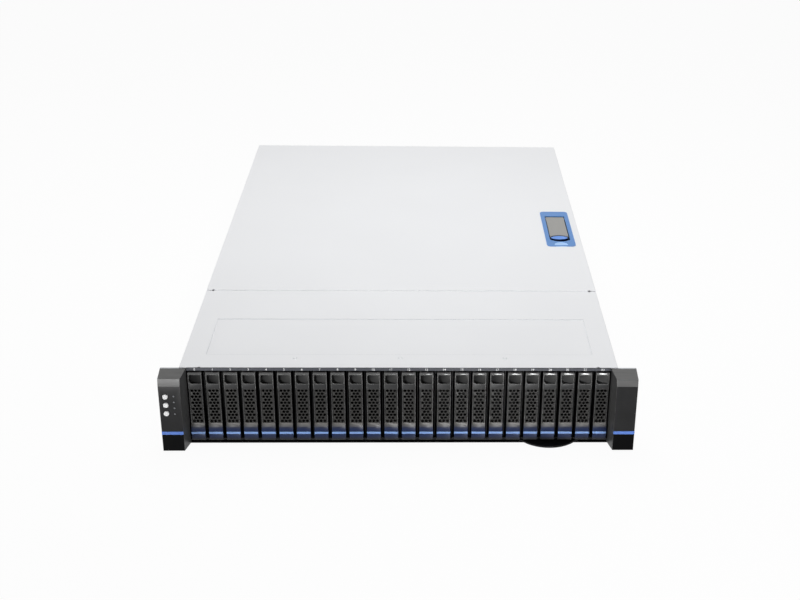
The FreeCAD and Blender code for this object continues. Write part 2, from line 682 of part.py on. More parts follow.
def ear_shell():
    """Right ear's hollow moulding, open at the back, with the groove of its stripe."""
    slope_z = ear_top - EAR_TOP_SLOPE
    bevel_z = slope_z - EAR_BEVEL_HEIGHT
    bevel_y = ear_front + EAR_BEVEL_RUN
    side = [(pan_front, EAR_BOTTOM), (ear_front, EAR_BOTTOM), (ear_front, bevel_z),
            (bevel_y, slope_z), (pan_front, ear_top)]
    plan = [(half_rack, pan_front), (half_rack, ear_front), (ear_face_x, ear_front), (ear_root_x, pan_front)]
    outer = prism_x(side, (ear_root_x, half_rack)).common(prism_z(plan, (EAR_BOTTOM, ear_top)))
    room = [(pan_front, EAR_BOTTOM + EAR_WALL), (ear_inside, EAR_BOTTOM + EAR_WALL), (ear_inside, bevel_z),
            (bevel_y + EAR_WALL, slope_z - EAR_WALL), (pan_front, ear_top - EAR_WALL)]
    room_plan = [(half_rack - EAR_WALL, pan_front), (half_rack - EAR_WALL, ear_inside),
                 (ear_face_x + EAR_WALL, ear_inside), (ear_root_x + EAR_WALL, pan_front)]
    inner = prism_x(room, (ear_root_x, half_rack)).common(prism_z(room_plan, (EAR_BOTTOM, ear_top)))
    groove = block((ear_face_x, half_rack), (ear_front, ear_front + STRIPE_DEPTH), stripe_levels())
    return outer.cut([inner, groove])


def stripe_levels():
    low = EAR_BOTTOM + STRIPE_RISE
    return (low, low + STRIPE_HEIGHT)


def ear_stripe():
    depth = (ear_front - STRIPE_PROUD, ear_front + STRIPE_DEPTH)
    return block((ear_face_x, half_rack), depth, stripe_levels())


def button_levels():
    return [BUTTON_TOP - k * BUTTON_PITCH for k in range(len(BUTTON_NAMES))]


def light_levels():
    return [LIGHT_TOP - k * LIGHT_PITCH for k in range(LIGHT_COUNT)]


def ear_cover_left():
    """Left ear's moulding, with holes for buttons and lights and bosses for their board."""
    wall = (ear_front, ear_inside)
    holes = [rod_y(BUTTON_RADIUS + BUTTON_CLEARANCE, wall, button_x, z) for z in button_levels()]
    holes += [rod_y(LIGHT_RADIUS + BUTTON_CLEARANCE, wall, light_x, z) for z in light_levels()]
    bosses = []
    for low in (board_bottom, board_top - BOSS_SIZE):
        bosses.append(block((boss_x - BOSS_SIZE / 2, boss_x + BOSS_SIZE / 2), (ear_inside, board_front),
                            (low, low + BOSS_SIZE)))
    return joined(mirrored(ear_shell()), bosses).cut(holes)


def push_button(z):
    """Round cap guided by the ear's wall, with a stop flange and a stem towards its switch."""
    cap = rod_y(BUTTON_RADIUS, (ear_front - BUTTON_PROUD, ear_inside), button_x, z)
    flange = rod_y(BUTTON_FLANGE_RADIUS, (ear_inside, ear_inside + BUTTON_FLANGE), button_x, z)
    stem_start = ear_inside + BUTTON_FLANGE
    stem = rod_y(BUTTON_STEM_RADIUS, (stem_start, stem_start + BUTTON_STEM), button_x, z)
    return joined(cap, [flange, stem])


def light_pipe(z):
    """Clear pin through the ear's wall, held by a flange and reaching the board."""
    pin = rod_y(LIGHT_RADIUS, (ear_front - LIGHT_PROUD, board_front), light_x, z)
    flange = rod_y(LIGHT_FLANGE_RADIUS, (ear_inside, ear_inside + LIGHT_FLANGE), light_x, z)
    return joined(pin, [flange])


def front_panel_board():
    """Board on the ear's bosses, with one switch behind each button."""
    across = (button_x - BUTTON_FLANGE_RADIUS, light_x + BOARD_SIDE_MARGIN)
    board = block(across, (board_front, board_front + BOARD_THICKNESS), (board_bottom, board_top))
    half = SWITCH_SIZE / 2
    switches = []
    for z in button_levels():
        switches.append(block((button_x - half, button_x + half), (switch_front, board_front),
                              (z - half, z + half)))
    return joined(board, switches)


def ear_bracket():
    """Right ear's steel bracket: flange for the rack post and leg along the pan's wall."""
    leg_outer = wall_outer + PAN_SHEET
    leg_top = lid_top - SKIRT_HEIGHT - EAR_LEG_MARGIN
    flange = block((leg_outer, half_rack), (-FLANGE_SHEET, 0), (EAR_BOTTOM, ear_top))
    leg = block((wall_outer, leg_outer), (-FLANGE_SHEET, EAR_LEG_LENGTH), (EAR_LEG_MARGIN, leg_top))
    holes = []
    for half in (-RACK_HOLE_SPACING / 2, RACK_HOLE_SPACING / 2):
        holes.append(rod_y(RACK_HOLE_RADIUS, (-FLANGE_SHEET, 0), RACK_HOLE_SPAN / 2, body_mid + half))
    for seat, y, z in side_screw_places():
        if seat == leg_outer:
            holes.append(rod_x(SCREW_RADIUS + SCREW_CLEARANCE, (wall_outer, leg_outer), y, z))
    return joined(flange, [leg]).cut(holes)


def fan_centres():
    return [(k - (FAN_COUNT - 1) / 2) * fan_pitch for k in range(FAN_COUNT)]


def fan_bracket(x, across):
    """Folded sheet that one fan stands on and leans against, with a round opening for its air."""
    plate = block(across, (fan_plate, fan_front), (PAN_SHEET, fan_bottom + fan_size))
    foot = block(across, (fan_plate, fan_rear), (PAN_SHEET, fan_bottom))
    return joined(plate, [foot]).cut(rod_y(fan_bore, (fan_plate, fan_front), x, fan_mid))


def fan_brackets():
    """A row of brackets from wall to wall, parted by a small gap."""
    centres = fan_centres()
    half = FAN_BRACKET_GAP / 2
    middles = [(a + b) / 2 for a, b in zip(centres, centres[1:])]
    starts = [-wall_inner] + [x + half for x in middles]
    ends = [x - half for x in middles] + [wall_inner]
    return [fan_bracket(x, across) for x, across in zip(centres, zip(starts, ends))]


def fan_frame(x):
    """Square fan frame with its rear spider and the stub shaft that carries the rotor."""
    half = fan_size / 2
    body = block((x - half, x + half), (fan_front, fan_rear), (fan_bottom, fan_bottom + fan_size))
    duct = rod_y(fan_bore, (fan_front, fan_rear), x, fan_mid)
    rear = (fan_rear - FAN_SPIDER, fan_rear)
    reach = half - FAN_WALL / 2
    hub = rod_y(FAN_HUB_RADIUS, rear, x, fan_mid)
    level = block((x - reach, x + reach), rear, (fan_mid - FAN_STRUT / 2, fan_mid + FAN_STRUT / 2))
    upright = block((x - FAN_STRUT / 2, x + FAN_STRUT / 2), rear, (fan_mid - reach, fan_mid + reach))
    shaft = rod_y(FAN_SHAFT_RADIUS, (fan_rear - FAN_SPIDER - FAN_SHAFT_LENGTH, fan_rear), x, fan_mid)
    return joined(body.cut(duct), [hub, level, upright, shaft])


def fan_rotor(x):
    """Hub on the stub shaft, with pitched blades trimmed to the duct."""
    hub = rod_y(FAN_HUB_RADIUS, (rotor_front, rotor_rear), x, fan_mid)
    tip = fan_bore - FAN_TIP_GAP
    sweep = rod_y(tip, (rotor_front, rotor_rear), x, fan_mid)
    middle = Vector(x, (rotor_front + rotor_rear) / 2, fan_mid)
    blades = []
    for k in range(BLADE_COUNT):
        blade = block((-BLADE_SHEET / 2, BLADE_SHEET / 2), (-BLADE_CHORD / 2, BLADE_CHORD / 2), (0, fan_bore))
        blade.rotate(Vector(0, 0, 0), Vector(0, 0, 1), BLADE_PITCH)
        blade.rotate(Vector(0, 0, 0), Vector(0, 1, 0), 360 * k / BLADE_COUNT)
        blade.translate(middle)
        blades.append(blade.common(sweep))
    bore = rod_y(FAN_SHAFT_RADIUS + FAN_SHAFT_CLEARANCE, (rotor_front, rotor_rear), x, fan_mid)
    pocket_front = fan_rear - FAN_SPIDER - FAN_SHAFT_LENGTH - FAN_ROTOR_GAP
    bore = bore.common(rod_y(FAN_HUB_RADIUS, (pocket_front, rotor_rear), x, fan_mid))
    return joined(hub, blades).cut(bore)


def psu_cage():
    """Wall and shelf that make two bays for the power supplies."""
    run = (psu_front - PSU_CAGE_REACH, BODY_DEPTH)
    top = psu_bottoms[1] + psu_height
    wall = block((psu_wall, psu_wall + CAGE_SHEET), run, (PAN_SHEET, top))
    shelf = block((-wall_inner, psu_wall), run, (psu_shelf, psu_shelf + CAGE_SHEET))
    return joined(wall, [shelf])


def release_pocket(bottom):
    """Space that a supply's release slides in, as x, y and z spans."""
    left = psu_left + RELEASE_LEFT
    mid = bottom + psu_height / 2
    half = RELEASE_HEIGHT / 2 + RELEASE_CLEARANCE
    right = left + RELEASE_WIDTH + RELEASE_TRAVEL + 2 * RELEASE_CLEARANCE
    return ((left, right), (BODY_DEPTH - RELEASE_DEPTH, BODY_DEPTH), (mid - half, mid + half))


def psu_case(bottom):
    """Power supply: closed case with its inlet, fan grille, bail lugs and release pocket."""
    mid = bottom + psu_height / 2
    rear = BODY_DEPTH
    case = block((psu_left, psu_left + PSU_WIDTH), (psu_front, rear), (bottom, bottom + psu_height))
    inlet_x = (inlet_right - INLET_WIDTH, inlet_right)
    inlet = block(inlet_x, (rear - INLET_DEPTH, rear), (mid - INLET_HEIGHT / 2, mid + INLET_HEIGHT / 2))
    pin_mid = sum(inlet_x) / 2
    pins = []
    for k in (-1, 0, 1):
        x = pin_mid + k * PIN_SPACING
        z = mid + PIN_HEIGHT / 2 * (1 - abs(k)) - PIN_HEIGHT / 2
        pins.append(block((x - PIN_WIDTH / 2, x + PIN_WIDTH / 2),
                          (rear - INLET_DEPTH, rear - INLET_DEPTH + PIN_LENGTH), (z, z + PIN_HEIGHT)))
    low = (bail_x[0] + BAIL_BAR, bottom + BAIL_BAR)
    high = (bail_x[1] - BAIL_BAR, bottom + psu_height - BAIL_BAR)
    vent_span = (rear - PSU_VENT_DEPTH, rear)
    centres = honeycomb(PSU_VENT_RADIUS, PSU_VENT_PITCH, PSU_VENT_ROW_PITCH, low, high)
    vents = [prism_y(hexagon(PSU_VENT_RADIUS, x, z), vent_span) for x, z in centres]
    body = joined(case.cut([inlet, block(*release_pocket(bottom))] + vents), pins)
    return joined(body, bail_lugs(bottom))


def bail_pivot(bottom):
    return bottom + psu_height - BAIL_PIVOT_DROP


def bail_lugs(bottom):
    """Two lugs on the rear face, with the holes of the bail's pins."""
    pivot = bail_pivot(bottom)
    lugs = []
    for low in (bail_x[0] - LUG_GAP - LUG_WIDTH, bail_x[1] + LUG_GAP):
        span = (low, low + LUG_WIDTH)
        root = block(span, (BODY_DEPTH, bail_y), (pivot - LUG_RADIUS, pivot + LUG_RADIUS))
        lug = joined(root, [rod_x(LUG_RADIUS, span, bail_y, pivot)])
        lugs.append(lug.cut(rod_x(BAIL_PIN_RADIUS + BAIL_PIN_CLEARANCE, span, bail_y, pivot)))
    return lugs


def psu_bail(bottom):
    """Folding handle that hangs from the lugs on two short pins."""
    pivot = bail_pivot(bottom)
    half = BAIL_BAR / 2
    depth = (bail_y - half, bail_y + half)
    foot = pivot - BAIL_DROP
    arms = [block((bail_x[0], bail_x[0] + BAIL_BAR), depth, (foot, pivot + half)),
            block((bail_x[1] - BAIL_BAR, bail_x[1]), depth, (foot, pivot + half))]
    grip = block(bail_x, depth, (foot, foot + BAIL_BAR))
    reach = LUG_GAP + LUG_WIDTH
    pins = [rod_x(BAIL_PIN_RADIUS, (bail_x[0] - reach, bail_x[0]), bail_y, pivot),
            rod_x(BAIL_PIN_RADIUS, (bail_x[1], bail_x[1] + reach), bail_y, pivot)]
    return joined(grip, arms + pins)


def psu_release(bottom):
    """Release that is squeezed sideways in its pocket."""
    pocket = release_pocket(bottom)
    left = pocket[0][1] - RELEASE_WIDTH - RELEASE_CLEARANCE
    right = left + RELEASE_WIDTH
    top = pocket[2][1] - RELEASE_CLEARANCE
    bottom_z = top - RELEASE_HEIGHT
    tail = BODY_DEPTH + RELEASE_PROUD
    plan = [(left, pocket[1][0]), (right, pocket[1][0]), (right, tail), (right - RELEASE_TIP, tail),
            (left, BODY_DEPTH)]
    return prism_z(plan, (bottom_z, top))


def slot_places():
    return [slots_left + (k + 0.5) * SLOT_PITCH for k in range(slot_count)]


def rear_panel():
    """Rear wall with the expansion slots, the board's connector window and air slots above it."""
    through = (panel_inside, BODY_DEPTH)
    panel = block((panel_left, wall_inner), through, (PAN_SHEET, lid_under))
    cuts = [block((window_left, window_left + WINDOW_WIDTH), through, (window_bottom, window_top))]
    for x in slot_places():
        cuts.append(block((x - SLOT_OPENING / 2, x + SLOT_OPENING / 2), through, (slots_bottom, slots_top)))
        cuts.append(rod_y(SCREW_RADIUS + SCREW_CLEARANCE, through, x, slot_ear_mid))
    pitch = WINDOW_WIDTH / REAR_VENT_COUNT
    for k in range(REAR_VENT_COUNT):
        x = window_left + (k + 0.5) * pitch
        cuts.append(block((x - REAR_VENT_WIDTH / 2, x + REAR_VENT_WIDTH / 2), through, rear_vents))
    return panel.cut(cuts)


def slot_cover(x):
    """Ventilated plate behind one expansion slot."""
    half = SLOT_COVER_WIDTH / 2
    through = (panel_inside - SLOT_COVER_SHEET, panel_inside)
    top = slots_top + SLOT_COVER_OVERLAP
    plate = block((x - half, x + half), through, (slots_bottom - SLOT_COVER_OVERLAP, top + SLOT_EAR))
    vent_z = (slots_bottom + SLOT_VENT_MARGIN, slots_top - SLOT_VENT_MARGIN)
    cuts = [rod_y(SCREW_RADIUS + SCREW_CLEARANCE, through, x, slot_ear_mid)]
    for side in (-SLOT_VENT_WIDTH, SLOT_VENT_WIDTH):
        cuts.append(block((x + side - SLOT_VENT_WIDTH / 2, x + side + SLOT_VENT_WIDTH / 2), through, vent_z))
    return plate.cut(cuts)


def latch_bezel():
    """Rim on the lid and the shallow well below it, with the holes of the lever's pins."""
    half = LATCH_WIDTH / 2
    rim = block((latch_x - half, latch_x + half), (bezel_front, bezel_front + LATCH_LENGTH),
                (lid_top, lid_top + LATCH_RIM))
    corners = [e for e in rim.Edges if abs(e.tangentAt(e.FirstParameter).z) > 0.5]
    rim = rim.makeFillet(LATCH_CORNER, corners)
    half = WELL_WIDTH / 2
    wall = half + WELL_WALL
    tub = block((latch_x - wall, latch_x + wall), (well_front - WELL_WALL, well_rear + WELL_WALL),
                (well_floor - WELL_WALL, lid_top))
    across = (latch_x - half, latch_x + half)
    levels = (well_floor, lid_top + LATCH_RIM)
    corners_y = well_front + WELL_BOW
    room = block(across, (corners_y, well_rear), levels)
    bow = block(across, (well_front, corners_y), levels).common(well_bow(well_front))
    pin = rod_x(LEVER_PIN_RADIUS + LEVER_PIN_CLEARANCE, (latch_x - wall, latch_x + wall),
                lever_pivot_y, lever_pivot_z)
    return joined(rim, [tub]).cut([room, bow, pin, thumb_recess()])


def well_bow(start):
    """Upright rod whose front wall is the well's bowed front edge, moved back to a start."""
    half = WELL_WIDTH / 2
    radius = (half ** 2 + WELL_BOW ** 2) / (2 * WELL_BOW)
    return rod_z(radius, (well_floor, lid_top + LATCH_RIM), latch_x, start + radius)


def thumb_recess():
    """Shallow round space in the rim ahead of the well, with a straight front edge."""
    rear = well_front - THUMB_WALL
    levels = (lid_top + LATCH_RIM - THUMB_DEPTH, lid_top + LATCH_RIM)
    across = (latch_x - THUMB_RADIUS, latch_x + THUMB_RADIUS)
    disc = rod_z(THUMB_RADIUS, levels, latch_x, rear - THUMB_RADIUS)
    return disc.common(block(across, (bezel_front + THUMB_MARGIN, rear), levels))


def lever_hollow(gap):
    """Upright rod whose wall is the lever's curved front edge, or that edge moved back by a gap."""
    radius = (lever_half ** 2 + LEVER_HOLLOW ** 2) / (2 * LEVER_HOLLOW)
    return rod_z(radius - gap, (well_floor, lever_top), latch_x, lever_front + LEVER_HOLLOW - radius)


def latch_lever():
    """Lift lever with a hollowed front edge, hinged at the rear on two short pins."""
    across = (latch_x - lever_half, latch_x + lever_half)
    plate = block(across, (lever_front, lever_rear), (lever_top - LEVER_THICKNESS, lever_top))
    reach = lever_half + LEVER_SIDE_GAP + LEVER_PIN_REACH
    pins = rod_x(LEVER_PIN_RADIUS, (latch_x - reach, latch_x + reach), lever_pivot_y, lever_pivot_z)
    return joined(plate.cut(lever_hollow(0)), [pins])


def latch_release_tab():
    """Crescent tab that slides forward in the well to free the lever."""
    start = well_front + TAB_START
    slab = block((latch_x - TAB_WIDTH / 2, latch_x + TAB_WIDTH / 2), (start, lever_front + LEVER_HOLLOW),
                 (well_floor, lid_top - TAB_DROP))
    return slab.common(lever_hollow(TAB_GAP)).common(well_bow(start))


def write_parts():
    os.makedirs("parts", exist_ok=True)
    save("base_pan", [base_pan()])
    save("main_board_standoffs", [standoff(x, y) for x, y in standoff_places()])
    save("rear_panel", [rear_panel()])
    save("slot_covers", [slot_cover(x) for x in slot_places()])
    save("front_top_cover", [front_top_cover()])
    save("chassis_fasteners", chassis_fasteners())
    save("drive_cage", [drive_cage()])
    save("cage_dividers", cage_dividers())
    save("backplane", [backplane()])
    save("information_tag", [information_tag()])
    loaded = Part.makeCompound(carrier_pieces())
    for number, x in enumerate(bay_centres()):
        save("drive_carrier_%02d" % number, [loaded.translated(Vector(x, 0, 0))])
    save("ear_cover_left", [ear_cover_left()])
    save("ear_cover_right", [ear_shell()])
    save("ear_accent_stripes", both_sides(ear_stripe()))
    save("ear_brackets", both_sides(ear_bracket()))
    for name, z in zip(BUTTON_NAMES, button_levels()):
        save(name, [push_button(z)])
    save("indicator_light_pipes", [light_pipe(z) for z in light_levels()])
    save("front_panel_board", [front_panel_board()])
    save("fan_brackets", fan_brackets())
    save("fan_frames", [fan_frame(x) for x in fan_centres()])
    for number, x in enumerate(fan_centres(), 1):
        save("fan_rotor_%d" % number, [fan_rotor(x)])
    save("psu_cage", [psu_cage()])
    for number, bottom in enumerate(psu_bottoms, 1):
        save("psu_%d" % number, [psu_case(bottom)])
        save("psu_%d_bail" % number, [psu_bail(bottom)])
        save("psu_%d_release" % number, [psu_release(bottom)])
    save("rear_lid", [rear_lid()])
    save("latch_bezel", [latch_bezel()])
    save("latch_lever", [latch_lever()])
    save("latch_release_tab", [latch_release_tab()])


write_parts()
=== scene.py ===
import math

import bmesh
import bpy
from mathutils import Matrix, Vector


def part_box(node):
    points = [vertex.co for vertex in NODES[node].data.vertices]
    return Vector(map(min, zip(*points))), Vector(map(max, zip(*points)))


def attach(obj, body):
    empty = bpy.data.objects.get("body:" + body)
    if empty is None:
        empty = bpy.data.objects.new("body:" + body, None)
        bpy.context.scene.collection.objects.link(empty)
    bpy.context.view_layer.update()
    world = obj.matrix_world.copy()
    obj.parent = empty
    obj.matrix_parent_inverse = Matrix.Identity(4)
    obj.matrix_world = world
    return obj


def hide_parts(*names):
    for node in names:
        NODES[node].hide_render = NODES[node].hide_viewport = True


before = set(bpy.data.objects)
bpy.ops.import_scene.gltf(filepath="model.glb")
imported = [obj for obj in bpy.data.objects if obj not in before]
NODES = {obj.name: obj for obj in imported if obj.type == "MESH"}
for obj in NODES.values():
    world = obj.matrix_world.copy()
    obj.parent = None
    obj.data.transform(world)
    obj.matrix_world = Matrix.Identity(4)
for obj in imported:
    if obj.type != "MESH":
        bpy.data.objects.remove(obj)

MM = 0.001
QUARTER_TURN = math.pi / 2
WHITE = (1.0, 1.0, 1.0, 1.0)
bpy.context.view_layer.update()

# The camera, found from the corners of the body in the photo. Its angles are in radians.
CAMERA_PLACE = Vector((20.55, -1160.07, 704.0)) * MM
CAMERA_PITCH = 0.4359       # below the horizon
CAMERA_YAW = -0.0411
CAMERA_ROLL = 0.0203
CAMERA_LENS = 58.10         # in millimetres, as is the sensor's width
CAMERA_SENSOR = 36.0
CAMERA_SHIFT = -0.08551     # as a share of the picture's width

# The studio
WORLD_LIGHT = 0.25          # strength as light; where it is seen, the world is white
FLOOR_HALF = 6.0            # half the floor's side, in metres
FLOOR_DROP = 0.2 * MM       # keeps the floor clear of the underside
PAPER = (0.95, 0.95, 0.95, 1.0)
PAPER_GLOW = 0.95           # share of its own light in the floor where it is seen

# Lamps, in metres and watts. One that isn't glossy shows in no reflection, and one that isn't
# diffuse makes highlights only.
LAMPS = (
    dict(name="softbox", place=(0.06, 0.44, 1.0), target=(0.06, 0.44, 0.0),
         size=(0.8, 0.8), power=6.7, glossy=False),
    dict(name="left_fill", place=(-3.0, -1.6, 0.4), target=(0.1, 0.0, 0.05),
         size=(0.8, 0.6), power=42.0),
    dict(name="right_fill", place=(0.7, -0.9, 0.25), target=(0.15, 0.0, 0.05),
         size=(0.4, 0.3), power=4.5, glossy=False),
    dict(name="glare", place=(0.38, -0.526, 1.05), target=(0.18, 0.0, 0.083),
         size=(0.44, 0.2), power=5.5, diffuse=False),
    dict(name="low_strip", place=(-0.29, -0.34, 0.03), target=(-0.228, -0.019, 0.08),
         size=(0.2, 0.04), power=1.2, diffuse=False),
    dict(name="right_strip", place=(0.11, -0.3, 0.03), target=(0.17, 0.0, 0.03),
         size=(0.14, 0.04), power=1.1, diffuse=False),
)

# The printed figures over the bays
BAYS = 24
NUMBER_SIZE = 3.5 * MM
NUMBER_WEIGHT = 0.06 * MM   # by which each figure's strokes are thickened
NUMBER_RELIEF = 0.02 * MM
NUMBER_MIDDLE = 85.35 * MM

# Places on the solids where a finish changes
NAVY_BAND = (8.5 * MM, 20.8 * MM)           # heights on a carrier
CARRIER_SLOPE = (21.0 * MM, 25.3 * MM)
CARRIER_FACE = -4.6 * MM                    # in front of it is the latch block
CARRIER_WALL = 6.7 * MM                     # half the width, less the rounded edge
CARRIER_RIM = -3.6 * MM                     # behind it a carrier's sides are in the gap, painted in shade
SCOOP_LEVELS = (70.6 * MM, 80.7 * MM)
SCOOP_DEPTHS = (-3.2 * MM, 0.6 * MM)        # from the most lit to the darkest part of the scoop's painted shade
GRILLE_TOP = 66.0 * MM                      # over it the carriers' rounded edges get a brighter painted highlight
DRIVE_FACE = 40.0 * MM                      # in front of it a drive is black
STRIP_FOOT = 83.9 * MM                      # of the bay-number strip
EAR_SHOULDER = 75.7 * MM                    # over it the ears are brushed, and painted paler partly as light on upward faces
EAR_FOOT = 20.4 * MM                        # under it they are gloss black
EAR_LIT_INSIDE = 219.6 * MM                     # nearer to the middle their sides are painted paler, as painted light
PAN_NOSE = (-3.0 * MM, 1.5 * MM)            # depth of the pan's painted front edge
PAN_HALF = 218.0 * MM
SUPPLY_POCKETS = (690.0 * MM, 709.6 * MM)   # depth of a power supply's vents and inlet
# The band by the seam where the cover gets a painted highlight
SEAM_HIGHLIGHT = (186.4 * MM, 188.2 * MM)
THUMB_CENTRE = (196.3 * MM, 325.0 * MM)
THUMB_RADIUS = 8.5 * MM
THUMB_FLOOR = 88.5 * MM
LATCH_SHADE = (87.3 * MM, 86.3 * MM)        # heights over which painted shade darkens the latch's colours

# Patterns that the finishes share
NOISE_SPREAD = (0.3, 0.7)       # most values of a noise lie between these
CLOUD_DETAIL = 4.0
MOULD_GRAIN = 2600.0            # spots to the metre in a mould's fine texture
METAL_GRAIN = 900.0
FINE_DETAIL = 2.0
LOOK_SOFT = 0.1                 # how softly a finish ends where faces turn away
EDGE_TURN = (0.995, 0.93)       # cosines at which a rounded edge begins and ends to take its edge colour: wear, and on the carriers a painted highlight
EDGE_SAMPLES = 4
SATIN = (0.3, 0.4)              # a range of roughness
MIX_FIRST, MIX_SECOND, MIX_RESULT = 6, 7, 2     # a Mix node's sockets for colours

# Meshes
WELD = 0.001 * MM               # corners nearer than this are one corner
LEVEL_DIGITS = 6                # decimals of a metre to which levels are told apart
FLAT_ANGLE = math.radians(0.5)  # faces that turn by less are one face
EDGE_ANGLE = math.radians(32)   # edges that turn by more are rounded
EDGE_STEPS = 2
LATHE_STEPS = 32

# Screws and rivets. A dome goes from the rim to the top, in shares of a head's radius and height.
RIVET_DOME = ((1, 0), (0.93, 0.4), (0.75, 0.72), (0.42, 0.94), (0, 1))
RIVET_SHANK = 0.6               # share of the head's radius
SCREW_DOME = ((1, 0), (1, 0.35), (0.9, 0.7), (0.62, 0.94), (0, 1))
SCREW_SHANK = 0.53
RECESS_REACH = 0.6              # share of the head's radius
RECESS_DEPTH = 0.75             # share of the head's height
RECESS_WIDTH = 0.16             # share of the reach
RECESS_TAPER = 0.55             # size at the bottom against that at the top
RECESS_RISE = 0.1               # how far the cutter stands over the head, as a share of the depth


def tone(red, green, blue):
    """A screen colour of 0 to 255 as the linear colour that shaders take, by the sRGB curve."""
    def linear(value):
        value = value / 255
        return value / 12.92 if value <= 0.04045 else ((value + 0.055) / 1.055) ** 2.4
    return (linear(red), linear(green), linear(blue), 1.0)


# The navy of painted shade down in the latch's well
WELL_SHADE_NAVY = tone(3, 20, 58)


def fresh_tree(owner):
    """The emptied node tree of a new material or world."""
    owner.use_nodes = True
    owner.node_tree.nodes.clear()
    return owner.node_tree


class Finish:
    """A procedural material. Its patterns lie in the object's own coordinates, in metres."""

    def __init__(self, name, **constants):
        self.material = bpy.data.materials.new(name)
        self.tree = fresh_tree(self.material)
        self.shader = self.add("BsdfPrincipled", **constants)
        surface = self.add("OutputMaterial").inputs["Surface"]
        self.tree.links.new(self.shader.outputs["BSDF"], surface)
        self.point = self.add("TexCoord").outputs["Object"]

    def add(self, kind, **inputs):
        """A node with some of its inputs set. Their names have _ for each space."""
        node = self.tree.nodes.new("ShaderNode" + kind)
        for name, value in inputs.items():
            self.put(node.inputs[name.replace("_", " ")], value)
        return node

    def put(self, socket, value):
        """Links an input to another node's output, or sets it to a constant."""
        if isinstance(value, bpy.types.NodeSocket):
            self.tree.links.new(value, socket)
        else:
            socket.default_value = value

    def set(self, name, value):
        """Sets an input of the material's own shader."""
        self.put(self.shader.inputs[name], value)

    def noise(self, scale, detail=3.0, stretch=(1.0, 1.0, 1.0)):
        """Cloudy noise of that many spots to the metre, from 0 to 1."""
        place = self.add("Mapping", Vector=self.point, Scale=stretch).outputs["Vector"]
        return self.add("TexNoise", Vector=place, Scale=scale, Detail=detail).outputs["Fac"]

    def clouded(self, scale, dark, light, detail=CLOUD_DETAIL):
        """Cloudy noise, and a colour that goes with it from dark to light."""
        cloud = self.noise(scale, detail)
        return cloud, self.mix(cloud, dark, light)

    def cells(self, scale):
        """One random value for each cell of a crystal pattern."""
        node = self.add("TexVoronoi", Vector=self.point, Scale=scale)
        return self.add("SeparateColor", Color=node.outputs["Color"]).outputs["Red"]

    def axis(self, letter):
        """The place along an axis, in metres."""
        return self.add("SeparateXYZ", Vector=self.point).outputs[letter]

    def fade(self, value, start, end, low=0.0, high=1.0):
        """low where value is start, high where it is end, and straight between."""
        node = self.add("MapRange", Value=value, From_Min=start, From_Max=end,
                        To_Min=low, To_Max=high)
        return node.outputs["Result"]

    def ramp(self, letter, start, end, low=0.0, high=1.0):
        """A fade along an axis."""
        return self.fade(self.axis(letter), start, end, low, high)

    def between(self, share, low, high):
        """low where share is 0 and high where it is 1."""
        return self.fade(share, 0.0, 1.0, low, high)

    def outside(self, share):
        """1 where share is 0, and 0 where it is 1."""
        return self.fade(share, 1.0, 0.0)

    def both(self, first, second):
        """The product of two values, which is 1 where both are."""
        node = self.add("Math")
        node.operation = "MULTIPLY"
        self.put(node.inputs[0], first)
        self.put(node.inputs[1], second)
        return node.outputs["Value"]

    def band(self, letter, levels, soft=0.15 * MM):
        """1 between two levels along an axis and 0 outside them."""
        place = self.axis(letter)
        low, high = levels
        over = self.fade(place, low - soft, low + soft)
        under = self.fade(place, high + soft, high - soft)
        return self.both(over, under)

    def disc(self, centre, radius, soft=0.2 * MM):
        """1 inside an upright cylinder round a centre in plan and 0 outside it."""
        away = self.add("VectorMath", Vector=self.point)
        away.operation = "DISTANCE"
        flat = self.add("CombineXYZ", X=self.axis("X"), Y=self.axis("Y"))
        self.put(away.inputs[0], flat.outputs["Vector"])
        away.inputs[1].default_value = (*centre, 0.0)
        return self.fade(away.outputs["Value"], radius + soft, radius - soft)

    def look(self, letter):
        """How far a face looks along an axis, from -1 to 1."""
        flat = self.add("NewGeometry").outputs["True Normal"]
        return self.add("SeparateXYZ", Vector=flat).outputs[letter]

    def facing(self, letter, least=0.5):
        """1 on faces that look along an axis, or against it where least is under 0."""
        return self.fade(self.look(letter), least, least + math.copysign(LOOK_SOFT, least))

    def level(self, letter, most=0.5):
        """1 on faces that look neither along an axis nor against it."""
        side = self.look(letter)
        along = self.fade(side, most + LOOK_SOFT, most)
        against = self.fade(side, -most - LOOK_SOFT, -most)
        return self.both(along, against)

    def mix(self, share, first, second):
        """The first colour where share is 0 and the second where it is 1."""
        node = self.add("Mix")
        node.data_type = "RGBA"
        self.put(node.inputs[0], share)
        self.put(node.inputs[MIX_FIRST], first)
        self.put(node.inputs[MIX_SECOND], second)
        return node.outputs[MIX_RESULT]

    def worn(self, colour, bright, radius=0.35 * MM, share=0.6):
        """The colour, turned to another colour, mostly brighter, along rounded edges: wear where
        handling rubs it, and on the carriers' rims a painted highlight.
        """
        soft = self.add("Bevel", Radius=radius)
        soft.samples = EDGE_SAMPLES
        flat = self.add("NewGeometry").outputs["True Normal"]
        node = self.add("VectorMath")
        node.operation = "DOT_PRODUCT"
        self.put(node.inputs[0], soft.outputs["Normal"])
        self.put(node.inputs[1], flat)
        edge = self.fade(node.outputs["Value"], *EDGE_TURN, 0.0, share)
        return self.mix(edge, colour, bright)

    def sunk(self, colour):
        """The colour, turned navy by painted shade down in the latch's well."""
        return self.mix(self.ramp("Z", *LATCH_SHADE), colour, WELL_SHADE_NAVY)

    def rough(self, pattern, low, high):
        """A roughness that goes with a noise from low to high."""
        self.set("Roughness", self.fade(pattern, *NOISE_SPREAD, low, high))

    def bump(self, pattern, depth, strength):
        """A relief of a pattern on the surface."""
        node = self.add("Bump", Height=pattern, Distance=depth, Strength=strength)
        self.set("Normal", node.outputs["Normal"])

    def grained(self, depth=0.02 * MM, strength=0.35):
        """The fine texture that a spark-eroded mould leaves."""
        self.bump(self.noise(MOULD_GRAIN, FINE_DETAIL), depth, strength)


